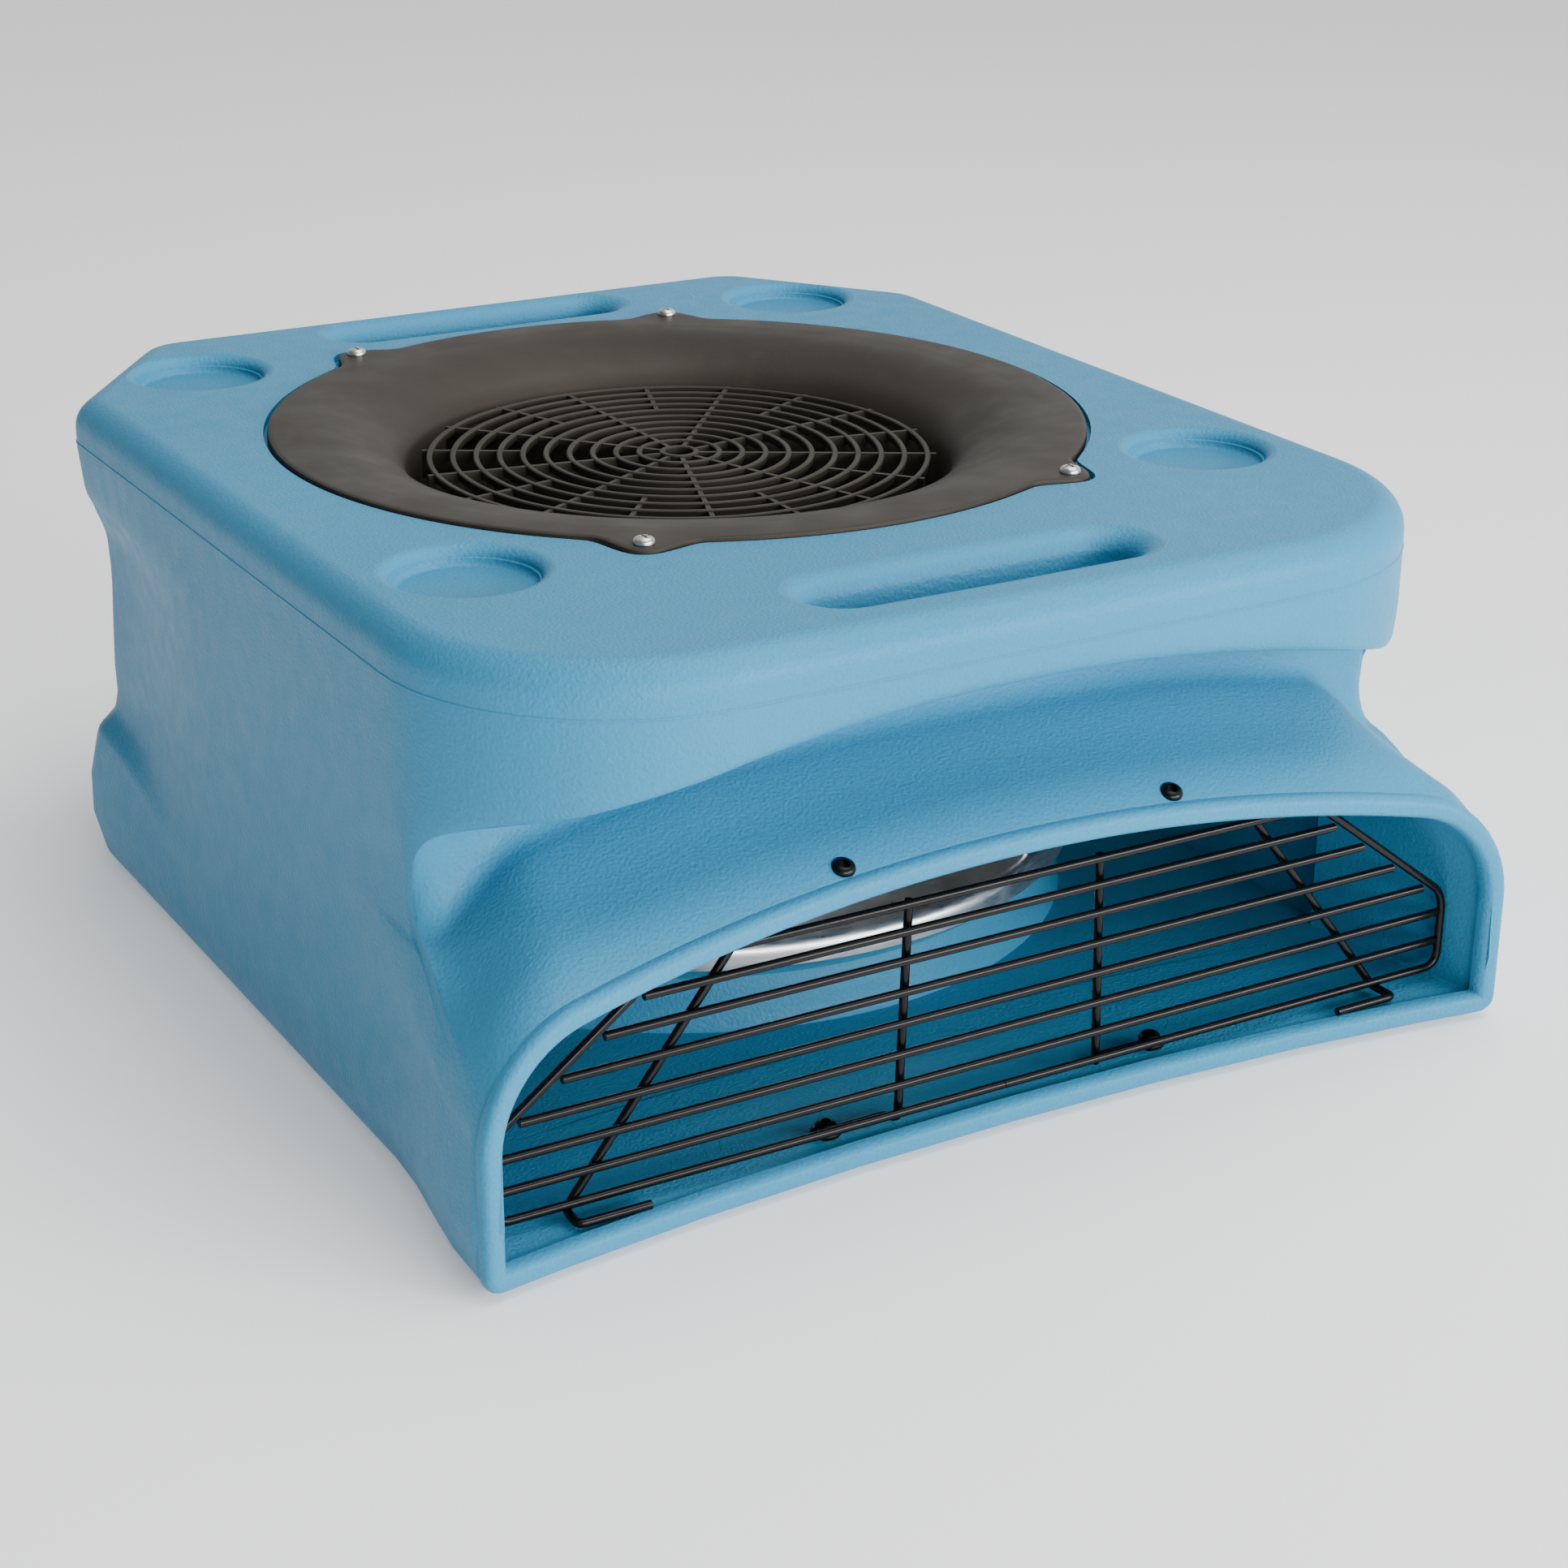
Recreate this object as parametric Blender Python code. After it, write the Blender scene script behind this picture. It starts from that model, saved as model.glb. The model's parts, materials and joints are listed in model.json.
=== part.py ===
"""Low-profile centrifugal floor air mover, modelled as an assembly of separate parts.

The machine stands on the floor at z = 0 with its outlet mouth towards -Y. The origin is the centre of its
footprint. Every part is modelled around the fan's vertical axis, in millimetres, and hangs on one empty that
carries the fan axis to its place behind the origin.
"""
from math import asin, cos, hypot, pi, radians, sin, sqrt

import bmesh
import bpy
from mathutils import Vector

MM = 0.001

# Driving dimensions, millimetres -----------------------------------------------------------------------
HEIGHT = 235.5            # floor to the flat top of the slab
REAR = 262.0              # fan axis to the back of the plinth
LIP_SET_BACK = 293.0      # fan axis to the mouth's lip at its middle
LIP_BOW = 17.0            # how much further forward the lip stands 240 mm out
LIP_REACH = 311.1         # fan axis to the lip's foremost points
MOUTH_HALF = 251.0        # half width over the mouth's lip
PLINTH_HALF = 239.3       # half width of the plinth
SLAB_HALF = 237.3         # half width of the slab
WAIST_HALF = 226.7        # half width of the waist between them, at the rear
WAIST_FRONT = 236.9       # half width of the waist where it meets the mouth's flank
WAIST_CORNER = 11.0       # plan radius of the waist's front corners
SLAB_FRONT = 300.0        # fan axis to the slab's front face
SLAB_CORNER = 100.0       # plan radius of the slab's front corners
SLAB_FILLET = 14.0        # round of the slab's top edge
PARTING = 214.0           # height of the mould's parting line
WALL = 6.0                # skin of the moulded housing
FLOOR = 8.0               # height of the duct's floor
MOUTH_CUT = 8.0           # how far inside the lip's outline the duct is cut

LIP_THICK = 10.0          # thickness of the mouth's lip
LIP_DEEP = 7.0            # how far the lip's bead reaches back
CROWN_TOP = 132.5         # highest point of the lip's arch
CROWN_RADIUS = 1000.0     # radius of the arch's long crown
CROWN_CORNER = 56.0       # radius of its upper corners
NOZZLE_SLOPE = 0.43       # rise of the nozzle's roof per unit of depth

CHAMFER = radians(36.4)   # direction of the rear corners' flats
CHAMFER_REACH = 290.7     # fan axis to those flats, on the slab
CHAMFER_ROUND = 20.0

CUP_RADIUS = 34.6         # stacking cups
CUP_DEPTH = 8.0
CUP_FRONT = (181.7, -158.2)
CUP_REAR = (166.7, 186.3)
GRIP_HALF = (84.0, 21.0)  # hand recesses, half length and half width
GRIP_DEPTH = 22.0
GRIP_FRONT_Y = -252.0
GRIP_REAR_Y = 224.0

RING_RADIUS = 190.0       # bellmouth ring
RING_SEAT = 232.0         # height of its seat in the slab
INLET_HOLE = 172.0        # hole in the slab under the ring
THROAT = 121.3
LUG_REACH = 16.0
LUG_WIDTH = radians(7.2)
LUG_SCREW = 197.2
LUG_ANGLES = tuple(radians(a) for a in (-122.4, -57.6, 63.6, 116.4))
GUARD_TOP = 219.5
GUARD_RINGS = 11
GUARD_HUB = 8.0
GUARD_PITCH = 10.86
GUARD_RIBS = 18

WHEEL_RADIUS = 190.0      # impeller
WHEEL_RIM = 40.0          # height of the back plate's turned rim
WHEEL_PLATE = 52.0        # top of the back plate
BLADES = 7
CAN_RADIUS = 45.0         # motor's rotor can
PEDESTAL = 34.0           # top of the moulded motor pedestal

WIRE = 1.9                # radius of the outlet grille's wire
GRILLE_Y = -285.0         # plane of the grille's frame
UPRIGHT_Y = -280.9        # plane of the uprights behind it
GRILLE_HALF = 236.5       # half width of the frame
GRILLE_LOW = 16.0         # height of the frame's bottom run
GRILLE_TOP = 110.0        # height of its top run
FRAME_SHOULDER = 52.0     # height where the frame's sides start to slope inwards
FRAME_TOP_HALF = 160.0    # half width where the slopes meet the top run
CROSS_WIRES = (29.0, 43.0, 57.0, 71.0, 85.0, 98.0)
FOOT_WIRE = 11.7          # height of the uprights' feet
FLOOR_SCREW = (82.0, -276.5)
NOZZLE_SCREW = (80.0, -284.0, 132.0)
NOZZLE_TILT = radians(25.4)

PANEL_Y = 246.0           # flat floor of the control plate's recess at the rear
PANEL_Z = 122.0
PANEL_HALF = (52.0, 26.0)
SWITCH_X = -22.0
GLAND_X = 26.0
ROCKER_PIVOT = 5.6        # rocker's pivot in front of the recess's floor
ROCKER_TILT = radians(12.0)   # tilt of the rocker at each end of its travel, resting at off

FOOT = 2.5                # thickness of the rubber feet
GAP = 0.3                 # gap left between touching parts

FAN_Y = (LIP_REACH - REAR) / 2   # fan axis behind the footprint's centre


# Scene helpers -----------------------------------------------------------------------------------------
def clear_scene():
    for obj in list(bpy.data.objects):
        bpy.data.objects.remove(obj, do_unlink=True)


def material(name, colour, roughness, metallic=0.0):
    mat = bpy.data.materials.new(name)
    mat.use_nodes = True
    shader = mat.node_tree.nodes["Principled BSDF"]
    shader.inputs["Base Color"].default_value = (*colour, 1.0)
    shader.inputs["Roughness"].default_value = roughness
    shader.inputs["Metallic"].default_value = metallic
    return mat


def place(obj, mat=None):
    bpy.context.scene.collection.objects.link(obj)
    obj.parent = bpy.data.objects["fan_axis"]
    if mat:
        obj.data.materials.append(mat)
    return obj


def mesh_object(name, verts, faces, mat=None, sharp=35.0):
    """One object from points in millimetres, with outward faces."""
    mesh = bpy.data.meshes.new(name)
    mesh.from_pydata([Vector(v) * MM for v in verts], [], faces)
    bm = bmesh.new()
    bm.from_mesh(mesh)
    bmesh.ops.recalc_face_normals(bm, faces=bm.faces)
    bm.to_mesh(mesh)
    bm.free()
    mesh.shade_smooth()
    mesh.set_sharp_from_angle(angle=radians(sharp))
    return place(bpy.data.objects.new(name, mesh), mat)


def place_tilted(obj, point, tilt):
    """Move an object's origin to a point in millimetres and tilt it about X."""
    obj.location = Vector(point) * MM
    obj.rotation_euler = (tilt, 0.0, 0.0)
    return obj


def boolean(target, tool, operation="DIFFERENCE"):
    """Cut or join with a tool that stays in the scene as a wire guide."""
    mod = target.modifiers.new(f"{operation.lower()}_{tool.name}", "BOOLEAN")
    mod.operation = operation
    mod.object = tool
    mod.solver = "EXACT"
    tool.display_type = "WIRE"
    tool.hide_render = True
    return target


# Shape helpers -----------------------------------------------------------------------------------------
def loft(loops, close=False):
    """Faces over equal loops of points; open lofts get a face at each end, closed ones join up."""
    count = len(loops[0])
    verts = [p for loop in loops for p in loop]
    faces = []
    rows = len(loops) if close else len(loops) - 1
    for row in range(rows):
        low = row * count
        high = (row + 1) % len(loops) * count
        for i in range(count):
            j = (i + 1) % count
            faces.append((low + i, low + j, high + j, high + i))
    if not close:
        faces.append(tuple(range(count)))
        faces.append(tuple(range(len(verts) - count, len(verts))))
    return verts, faces


def circle(radius, z, count, centre=(0.0, 0.0), start=0.0):
    step = 2 * pi / count
    return [(centre[0] + radius * cos(start + i * step), centre[1] + radius * sin(start + i * step), z)
            for i in range(count)]


def turned(name, profile, count, mat=None, centre=(0.0, 0.0), hollow=True, start=0.0):
    """A turned part from (radius, height) pairs: a ring when hollow, else a solid of revolution."""
    loops = [circle(r, z, count, centre, start) for r, z in profile]
    return mesh_object(name, *loft(loops, close=hollow), mat)


def box(name, low, high, mat=None):
    corners = [(low[0], low[1]), (high[0], low[1]), (high[0], high[1]), (low[0], high[1])]
    loops = [[(x, y, z) for x, y in corners] for z in (low[2], high[2])]
    return mesh_object(name, *loft(loops), mat)


def arc(cx, cy, radius, start, end, count):
    step = (end - start) / (count - 1)
    return [(cx + radius * cos(start + i * step), cy + radius * sin(start + i * step))
            for i in range(count)]


def smooth(t):
    t = min(max(t, 0.0), 1.0)
    return t * t * (3 - 2 * t)


def mix(a, b, t):
    return a + (b - a) * t


def between(p, q, t):
    return (mix(p[0], q[0], t), mix(p[1], q[1], t))


# Housing: its outlines in plan -------------------------------------------------------------------------
def lip_y(x):
    """Plan curve of the mouth's lip, set back in its middle."""
    return -LIP_SET_BACK - LIP_BOW * (abs(x) / 240.0) ** 2.2


def waist_y(x):
    """Plan curve of the valley's back wall under the slab."""
    return -214.0 - 9.0 * (abs(x) / 205.0) ** 2


def waist_x(y):
    """Half width of the waist: tucked in at the rear, flush with the slab towards the mouth."""
    return mix(WAIST_HALF, WAIST_FRONT, smooth((150.0 - y) / 140.0))


def flank_x(y, plinth, mouth):
    """Half width of the plinth, flaring towards the mouth."""
    return mix(plinth, mouth, smooth((-y - 195.0) / 95.0))


def half_outline(half, rear, reach, front, corner, counts, flare=None):
    """Right half of a plan outline: front middle, front corner, side, chamfered rear corner, rear middle."""
    n_front, n_corner, n_side, n_round, n_rear = counts
    wide = flare(-400.0) if flare else half
    inner = wide - corner
    points = [(inner * sin(pi / 2 * i / n_front), front(inner * sin(pi / 2 * i / n_front)))
              for i in range(n_front)]
    corner_y = front(inner) + corner
    points += arc(inner, corner_y, corner, -pi / 2, 0.0, n_corner)
    first = (half, (reach - half * cos(CHAMFER)) / sin(CHAMFER))
    second = ((reach - rear * sin(CHAMFER)) / cos(CHAMFER), rear)
    slope = (cos(CHAMFER), sin(CHAMFER))
    pull_1 = CHAMFER_ROUND / (1 + slope[0])
    pull_2 = CHAMFER_ROUND / (1 + slope[1])
    centre_1 = (first[0] - pull_1 * (1 + slope[0]), first[1] - pull_1 * slope[1])
    centre_2 = (second[0] - pull_2 * slope[0], second[1] - pull_2 * (1 + slope[1]))
    for i in range(1, n_side):
        y = mix(corner_y, centre_1[1], i / n_side)
        points.append((flare(y) if flare else half, y))
    points += arc(*centre_1, CHAMFER_ROUND, 0.0, CHAMFER, n_round)
    points += arc(*centre_2, CHAMFER_ROUND, CHAMFER, pi / 2, n_round)
    points += [(centre_2[0] * (1 - i / n_rear), rear) for i in range(1, n_rear + 1)]
    return points


def slab_outline(inset, counts):
    return half_outline(SLAB_HALF - inset, REAR - 2 - inset, CHAMFER_REACH - inset,
                        lambda x: inset - SLAB_FRONT, SLAB_CORNER - inset, counts)


def waist_outline(inset, counts, corner):
    tuck = SLAB_HALF - WAIST_HALF + inset
    return half_outline(WAIST_HALF - inset, REAR - 2 - tuck, CHAMFER_REACH - tuck,
                        lambda x: waist_y(x) + inset, corner, counts, flare=lambda y: waist_x(y) - inset)


def base_outline(inset, counts, front, mouth, corner):
    return half_outline(PLINTH_HALF - inset, REAR - inset, CHAMFER_REACH + 2 - inset, front, corner, counts,
                        flare=lambda y: flank_x(y, PLINTH_HALF - inset, mouth))


def full_loop(half):
    """Both halves of a loop of (x, y, z) points that starts and ends on the middle plane."""
    return half + [(-x, y, z) for x, y, z in reversed(half[1:-1])]


# Housing: its heights ----------------------------------------------------------------------------------
def crown(x):
    return CROWN_TOP - CROWN_RADIUS + sqrt(CROWN_RADIUS ** 2 - x * x)


def arch(x, inset=0.0):
    """Height of the mouth's arch: a long crown with rounded upper corners."""
    x = abs(x)
    big = CROWN_RADIUS - inset
    small = CROWN_CORNER - inset
    centre_x = MOUTH_HALF - CROWN_CORNER
    base_z = CROWN_TOP - CROWN_RADIUS
    centre_z = base_z + sqrt((big - small) ** 2 - centre_x ** 2)
    if x <= centre_x * big / (big - small):
        return base_z + sqrt(big ** 2 - x * x)
    return centre_z + sqrt(max(small ** 2 - (x - centre_x) ** 2, 0.0))


def edge_heights(outline, counts):
    """Height of the slab's lower edge along its outline: an arch in front, a slow rise along the sides."""
    heights = []
    run = 0.0
    n_corner_end = counts[0] + counts[1] - 1
    for i, point in enumerate(outline):
        if i:
            run += hypot(point[0] - outline[i - 1][0], point[1] - outline[i - 1][1])
        if i <= n_corner_end:
            heights.append(max(198.5 - 43.0 * (run / 246.0) ** 2.2, 152.0))
        else:
            heights.append(mix(152.0, 177.0, smooth((i - n_corner_end) / counts[2])))
    return heights


def column_blend(counts):
    """For each column of the half loop: how much of the mouth's roof and of the slab's overhang it has,
    and its run along the side.
    """
    n_corner_end = counts[0] + counts[1] - 1
    total = counts[0] + counts[1] + counts[2] - 1 + 2 * counts[3] + counts[4]
    result = []
    for i in range(total):
        along = min(max((i - n_corner_end) / counts[2], 0.0), 1.0)
        turned_in = (i - counts[0]) / (counts[1] - 1)
        result.append((1.0 - smooth(along / 0.25), 1.0 - smooth((turned_in - 0.3) / 0.6), along))
    return result


def step_heights(along):
    """Lower and upper end of the plinth's step: high and sharp at the mouth and the rear, soft between."""
    low = mix(mix(84.0, 30.0, smooth(along / 0.45)), 64.0, smooth((along - 0.7) / 0.3))
    high = mix(117.0, 80.0, smooth(along / 0.45))
    return low, high


def quarter(count):
    return [pi / 2 * i / count for i in range(count + 1)]


def housing_skin(counts):
    """Loops of the housing's outer skin, from its base to the flat top of its slab."""
    lip_front = [lambda x, d=d: lip_y(x) + 3.0 + d for d in (6.0, 1.8, 0.0)]
    bases = [base_outline(d, counts, front, MOUTH_HALF - 1.5 - d, max(9.0 - d, 2.0))
             for d, front in zip((6.0, 1.8, 0.0), lip_front)]
    base = bases[2]
    waist = waist_outline(0.0, counts, WAIST_CORNER)
    slab = slab_outline(0.0, counts)
    edges = edge_heights(slab, counts)
    blends = column_blend(counts)
    columns = []
    for i, (front, over, along) in enumerate(blends):
        b, w, s, edge = base[i], waist[i], slab[i], edges[i]
        low, high = step_heights(along)
        depth = hypot(w[0] - b[0], w[1] - b[1])
        top = min(arch(min(b[0], MOUTH_HALF - 1.5)), crown(b[0])) - 1.2
        foot = crown(w[0]) + NOZZLE_SLOPE * (w[1] - 16.0 - lip_y(w[0])) - 24.0 * smooth((w[0] - 190.0) / 47.0)
        foot = min(foot, edge - 43.0)
        column = [(*bases[0][i], 0.0), (*bases[1][i], 1.8), (*b, 6.0)]
        front_rows = [(0.0, top - 8.0), (1.0 / depth, top - 2.0), (4.0 / depth, top + 1.8),
                      (0.5, mix(top + 1.8, foot, (0.5 * depth - 4) / (depth - 20))),
                      (1 - 16.0 / depth, foot), (1 - 5.0 / depth, foot + 4.5), (1.0, foot + 16.0)]
        rise = edge - 24.0 - high
        side_rows = [(0.0, low), (0.10, mix(low, high, 0.25)), (0.38, mix(low, high, 0.5)),
                     (0.66, mix(low, high, 0.75)), (0.79, high), (0.86, high + 0.3 * rise),
                     (0.93, high + 0.6 * rise)]
        for (t_front, z_front), (t_side, z_side) in zip(front_rows, side_rows):
            column.append((*between(b, w, mix(t_side, t_front, front)), mix(z_side, z_front, front)))
        span = max(hypot(w[0] - s[0], w[1] - s[1]), 1.0)
        tuck = min(18.0, 0.42 * span)
        nose = min(12.0, 0.55 * span)
        front_rows = [(1.0, -18.0), (1 - 0.13 * tuck / span, -9.0), (1 - 0.5 * tuck / span, -2.4),
                      (1 - tuck / span, 0.0), (nose / span, 0.0), (0.5 * nose / span, 1.6),
                      (0.13 * nose / span, 6.0), (0.0, 12.0)]
        side_rows = [(1.0, -24.0), (0.97, -16.0), (0.92, -9.0), (0.74, -2.0),
                     (0.60, 2.0), (0.45, 7.0), (0.25, 12.0), (0.10, 24.0)]
        for (t_front, z_front), (t_side, z_side) in zip(front_rows, side_rows):
            column.append((*between(s, w, mix(t_side, t_front, over)), edge + mix(z_side, z_front, over)))
        column.append((*s, PARTING))
        columns.append(column)
    loops = [[column[row] for column in columns] for row in range(len(columns[0]))]
    for angle in quarter(3):
        inset = SLAB_FILLET * (1 - cos(angle))
        z = HEIGHT - SLAB_FILLET * (1 - sin(angle))
        loops.append([(*p, z) for p in slab_outline(inset, counts)])
    return [full_loop(loop) for loop in loops]


def housing_hollow(counts):
    """Loops of the hollow behind the mouth, a wall's thickness inside the skin."""
    base = base_outline(WALL, counts, lambda x: waist_y(x) + WALL, PLINTH_HALF - WALL, 30.0 - WALL)
    waist = waist_outline(WALL, counts, 30.0 - WALL)
    slab = slab_outline(WALL, counts)
    edges = edge_heights(slab, counts)
    columns = []
    for i, (front, over, along) in enumerate(column_blend(counts)):
        b, w, s, edge = base[i], waist[i], slab[i], edges[i]
        low, high = step_heights(along)
        column = [(*b, FLOOR)]
        front_rows = [(0.0, 60.0), (0.4, 76.0), (0.8, 94.0), (0.9, 112.0)]
        side_rows = [(0.0, low - 4.0), (0.4, mix(low, high, 0.5) - 3.0), (0.8, high - 2.0), (0.9, high + 10.0)]
        for (t_front, z_front), (t_side, z_side) in zip(front_rows, side_rows):
            column.append((*between(b, w, mix(t_side, t_front, front)), mix(z_side, z_front, front)))
        front_rows = [(0.0, -6.0), (0.25, 8.0), (1.0, 16.0)]
        side_rows = [(0.0, -24.0), (0.3, 0.0), (1.0, 26.0)]
        for (t_front, z_front), (t_side, z_side) in zip(front_rows, side_rows):
            column.append((*between(w, s, mix(t_side, t_front, over)), edge + mix(z_side, z_front, over)))
        column.append((*s, HEIGHT - WALL))
        columns.append(column)
    loops = [[column[row] for column in columns] for row in range(len(columns[0]))]
    return [full_loop(loop) for loop in loops]


def duct_tool():
    """The outlet duct: the mouth's outline carried back into the hollow under the rising roof."""
    loops = []
    for depth in (-30.0, 6.0, 45.0, 100.0):
        run = max(depth - 6.0, 0.0)
        loop = []
        for x, z in lip_contour(MOUTH_CUT, 12, 4):
            rise = NOZZLE_SLOPE * run * (1.0 - smooth((abs(x) - 150.0) / 60.0))
            x_in = x * (1.0 - 0.07 * run / 94.0)
            loop.append((x_in, lip_y(x_in) + depth, z + rise * smooth(z / 90.0)))
        loops.append(loop)
    return mesh_object("tool_duct", *loft(loops))


def lip_contour(inset, count_crown=15, count_corner=6):
    """Closed outline of the mouth in its own plane, from the floor's middle around the arch."""
    half = MOUTH_HALF - inset
    small = CROWN_CORNER - inset
    big = CROWN_RADIUS - inset
    centre_x = MOUTH_HALF - CROWN_CORNER
    base_z = CROWN_TOP - CROWN_RADIUS
    centre_z = base_z + sqrt((big - small) ** 2 - centre_x ** 2)
    round_low = max(8.0 - inset, 0.6)
    tilt = asin(centre_x / (big - small))
    right = [(half * t, inset) for t in (0.0, 0.3, 0.6, 0.85)]
    right += arc(half - round_low, inset + round_low, round_low, -pi / 2, 0.0, 3)
    right += [(half, mix(inset + round_low, centre_z, 0.5))]
    right += arc(centre_x, centre_z, small, 0.0, pi / 2 - tilt, count_corner)
    span = range(1, count_crown)
    top = [(big * sin(tilt * (1 - 2 * i / count_crown)), base_z + big * cos(tilt * (1 - 2 * i / count_crown)))
           for i in span]
    return right + top + [(-x, z) for x, z in reversed(right[1:])]


def lip_bead():
    """The rounded bead around the mouth, as a closed ring swept along the lip's plan curve."""
    section = ((0.0, LIP_DEEP), (0.0, 4.0), (1.4, 1.2), (4.2, 0.0), (7.0, 0.4), (9.2, 2.2),
               (LIP_THICK, 5.0), (LIP_THICK, LIP_DEEP))
    loops = []
    for inset, back in section:
        loops.append([(x, lip_y(x) + back, z) for x, z in lip_contour(inset)])
    return mesh_object("tool_lip_bead", *loft(loops, close=True))


# Housing: tools that cut its recesses ------------------------------------------------------------------
def ring_reach(angle, base, reach, width):
    """Outer radius of the bellmouth ring in one direction, with an ear at each lug."""
    radius = base
    for lug in LUG_ANGLES:
        off = abs((angle - lug + pi) % (2 * pi) - pi)
        if off < width:
            radius = base + reach * cos(pi / 2 * off / width) ** 2
    return radius


def ring_directions(uniform=36, per_lug=5):
    """Directions around the ring, closer together at its lugs."""
    angles = []
    for i in range(uniform):
        angle = -pi + 2 * pi * i / uniform
        if all(abs((angle - lug + pi) % (2 * pi) - pi) > LUG_WIDTH * 1.25 for lug in LUG_ANGLES):
            angles.append(angle)
    for lug in LUG_ANGLES:
        angles += [lug + LUG_WIDTH * (2 * i / (per_lug - 1) - 1) for i in range(per_lug)]
    return sorted((a + pi) % (2 * pi) - pi for a in angles)


def ring_loop(base, reach, z, grow=0.0):
    width = LUG_WIDTH * (1 + grow)
    points = []
    for angle in ring_directions():
        radius = ring_reach(angle, base, reach, width)
        points.append((radius * cos(angle), radius * sin(angle), z))
    return points


def seat_tool():
    loops = [ring_loop(RING_RADIUS + 1.8, LUG_REACH + 0.6, z, 0.12) for z in (RING_SEAT, HEIGHT + 5)]
    return mesh_object("tool_ring_seat", *loft(loops))


def cup_profile(grow):
    """Half section of a stacking cup with a rounded rim and foot, or of the wall grown around it."""
    depth = HEIGHT - CUP_DEPTH - grow
    rim = CUP_RADIUS + grow
    if grow:
        return [(rim - 5.0, depth), (rim - 2.0, HEIGHT)]
    return [(rim - 8.0, depth), (rim - 5.0, depth + 2.2), (rim - 4.0, HEIGHT - 3.5), (rim - 2.4, HEIGHT - 1.0),
            (rim + 2.4, HEIGHT + 1.0), (rim + 2.4, HEIGHT + 6.0)]


def cup_tool(name, centre, grow=0.0):
    return turned(name, cup_profile(grow), 14 if grow else 24, centre=centre, hollow=False)


def stadium(half_length, half_width, z, centre_y, count=7):
    """A long rounded outline whose long sides bow out slightly."""
    straight = half_length - half_width
    bow = half_width + 0.8
    right = [(0.0, centre_y - bow)] + arc(straight, centre_y, half_width, -pi / 2, pi / 2, count)
    left = [(0.0, centre_y + bow)] + arc(-straight, centre_y, half_width, pi / 2, 3 * pi / 2, count)
    return [(x, y, z) for x, y in right + left]


def grip_tool(name, centre_y, grow=0.0):
    """Long hand recess with a rolled rim and a rounded floor."""
    floor = HEIGHT - GRIP_DEPTH - grow
    section = ((12.0, floor), (8.0, floor + 4.5), (6.6, HEIGHT - 8.0), (3.4, HEIGHT - 3.2),
               (-4.6, HEIGHT + 2.0), (-4.6, HEIGHT + 6.0))
    if grow:
        section = ((7.0, floor), (3.0, HEIGHT))
    loops = [stadium(GRIP_HALF[0] + grow - d, GRIP_HALF[1] + grow - d, z, centre_y, 3 if grow else 6)
             for d, z in section]
    return mesh_object(name, *loft(loops))


def cavity_tool():
    """The hollow of the housing, less the walls that its recesses, bosses and pedestal need."""
    cavity = mesh_object("tool_cavity", *loft(housing_hollow((7, 4, 6, 2, 1))))
    keep = [turned("keep_seat", [(RING_RADIUS + 8, RING_SEAT - WALL), (RING_RADIUS + 8, HEIGHT)], 28,
                   hollow=False)]
    for side in (-1, 1):
        for end, centre in (("front", CUP_FRONT), ("rear", CUP_REAR)):
            keep.append(cup_tool(f"keep_cup_{end}_{side}", (side * centre[0], centre[1]), WALL - 1.0))
    keep.append(grip_tool("keep_grip_front", GRIP_FRONT_Y, WALL - 1.0))
    keep.append(grip_tool("keep_grip_rear", GRIP_REAR_Y, WALL - 1.0))
    keep.append(turned("keep_pedestal", [(186, FLOOR - 4), (184, FLOOR + 2), (179, PEDESTAL - 5),
                                         (174, PEDESTAL)], 32, hollow=False))
    for i, angle in enumerate(LUG_ANGLES):
        centre = (LUG_SCREW * cos(angle), LUG_SCREW * sin(angle))
        keep.append(turned(f"keep_boss_{i}", [(6.5, RING_SEAT - 20), (6.5, RING_SEAT)], 8, centre=centre,
                           hollow=False))
    for tool in keep:
        boolean(cavity, tool)
    return cavity


def build_housing(mat):
    counts = (10, 6, 6, 2, 2)
    housing = mesh_object("housing", *loft(housing_skin(counts)), mat, sharp=32.0)
    boolean(housing, cavity_tool())
    boolean(housing, duct_tool())
    boolean(housing, lip_bead(), "UNION")
    boolean(housing, turned("tool_underside", [(168, -5), (166, 18), (160, 26)], 24, hollow=False))
    boolean(housing, turned("tool_inlet", [(INLET_HOLE, 190), (INLET_HOLE, HEIGHT + 5)], 48, hollow=False))
    boolean(housing, seat_tool())
    for side in (-1, 1):
        for end, centre in (("front", CUP_FRONT), ("rear", CUP_REAR)):
            boolean(housing, cup_tool(f"tool_cup_{end}_{side}", (side * centre[0], centre[1])))
    boolean(housing, grip_tool("tool_grip_front", GRIP_FRONT_Y))
    boolean(housing, grip_tool("tool_grip_rear", GRIP_REAR_Y))
    for i, angle in enumerate(LUG_ANGLES):
        centre = (LUG_SCREW * cos(angle), LUG_SCREW * sin(angle))
        boolean(housing, turned(f"tool_lug_{i}", [(2.7, RING_SEAT - 16), (2.7, HEIGHT)], 10, centre=centre,
                                hollow=False))
    for i, centre in enumerate(motor_screw_places()):
        boolean(housing, turned(f"tool_motor_hole_{i}", [(2.8, PEDESTAL - 5), (2.8, PEDESTAL + 6)], 10,
                                centre=centre, hollow=False, start=0.1 + 0.2 * i))
    cut_grille_fixings(housing)
    cut_control_opening(housing)
    return housing


def motor_screw_places():
    return [(70 * cos(pi / 4 + i * pi / 2), 70 * sin(pi / 4 + i * pi / 2)) for i in range(4)]


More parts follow.
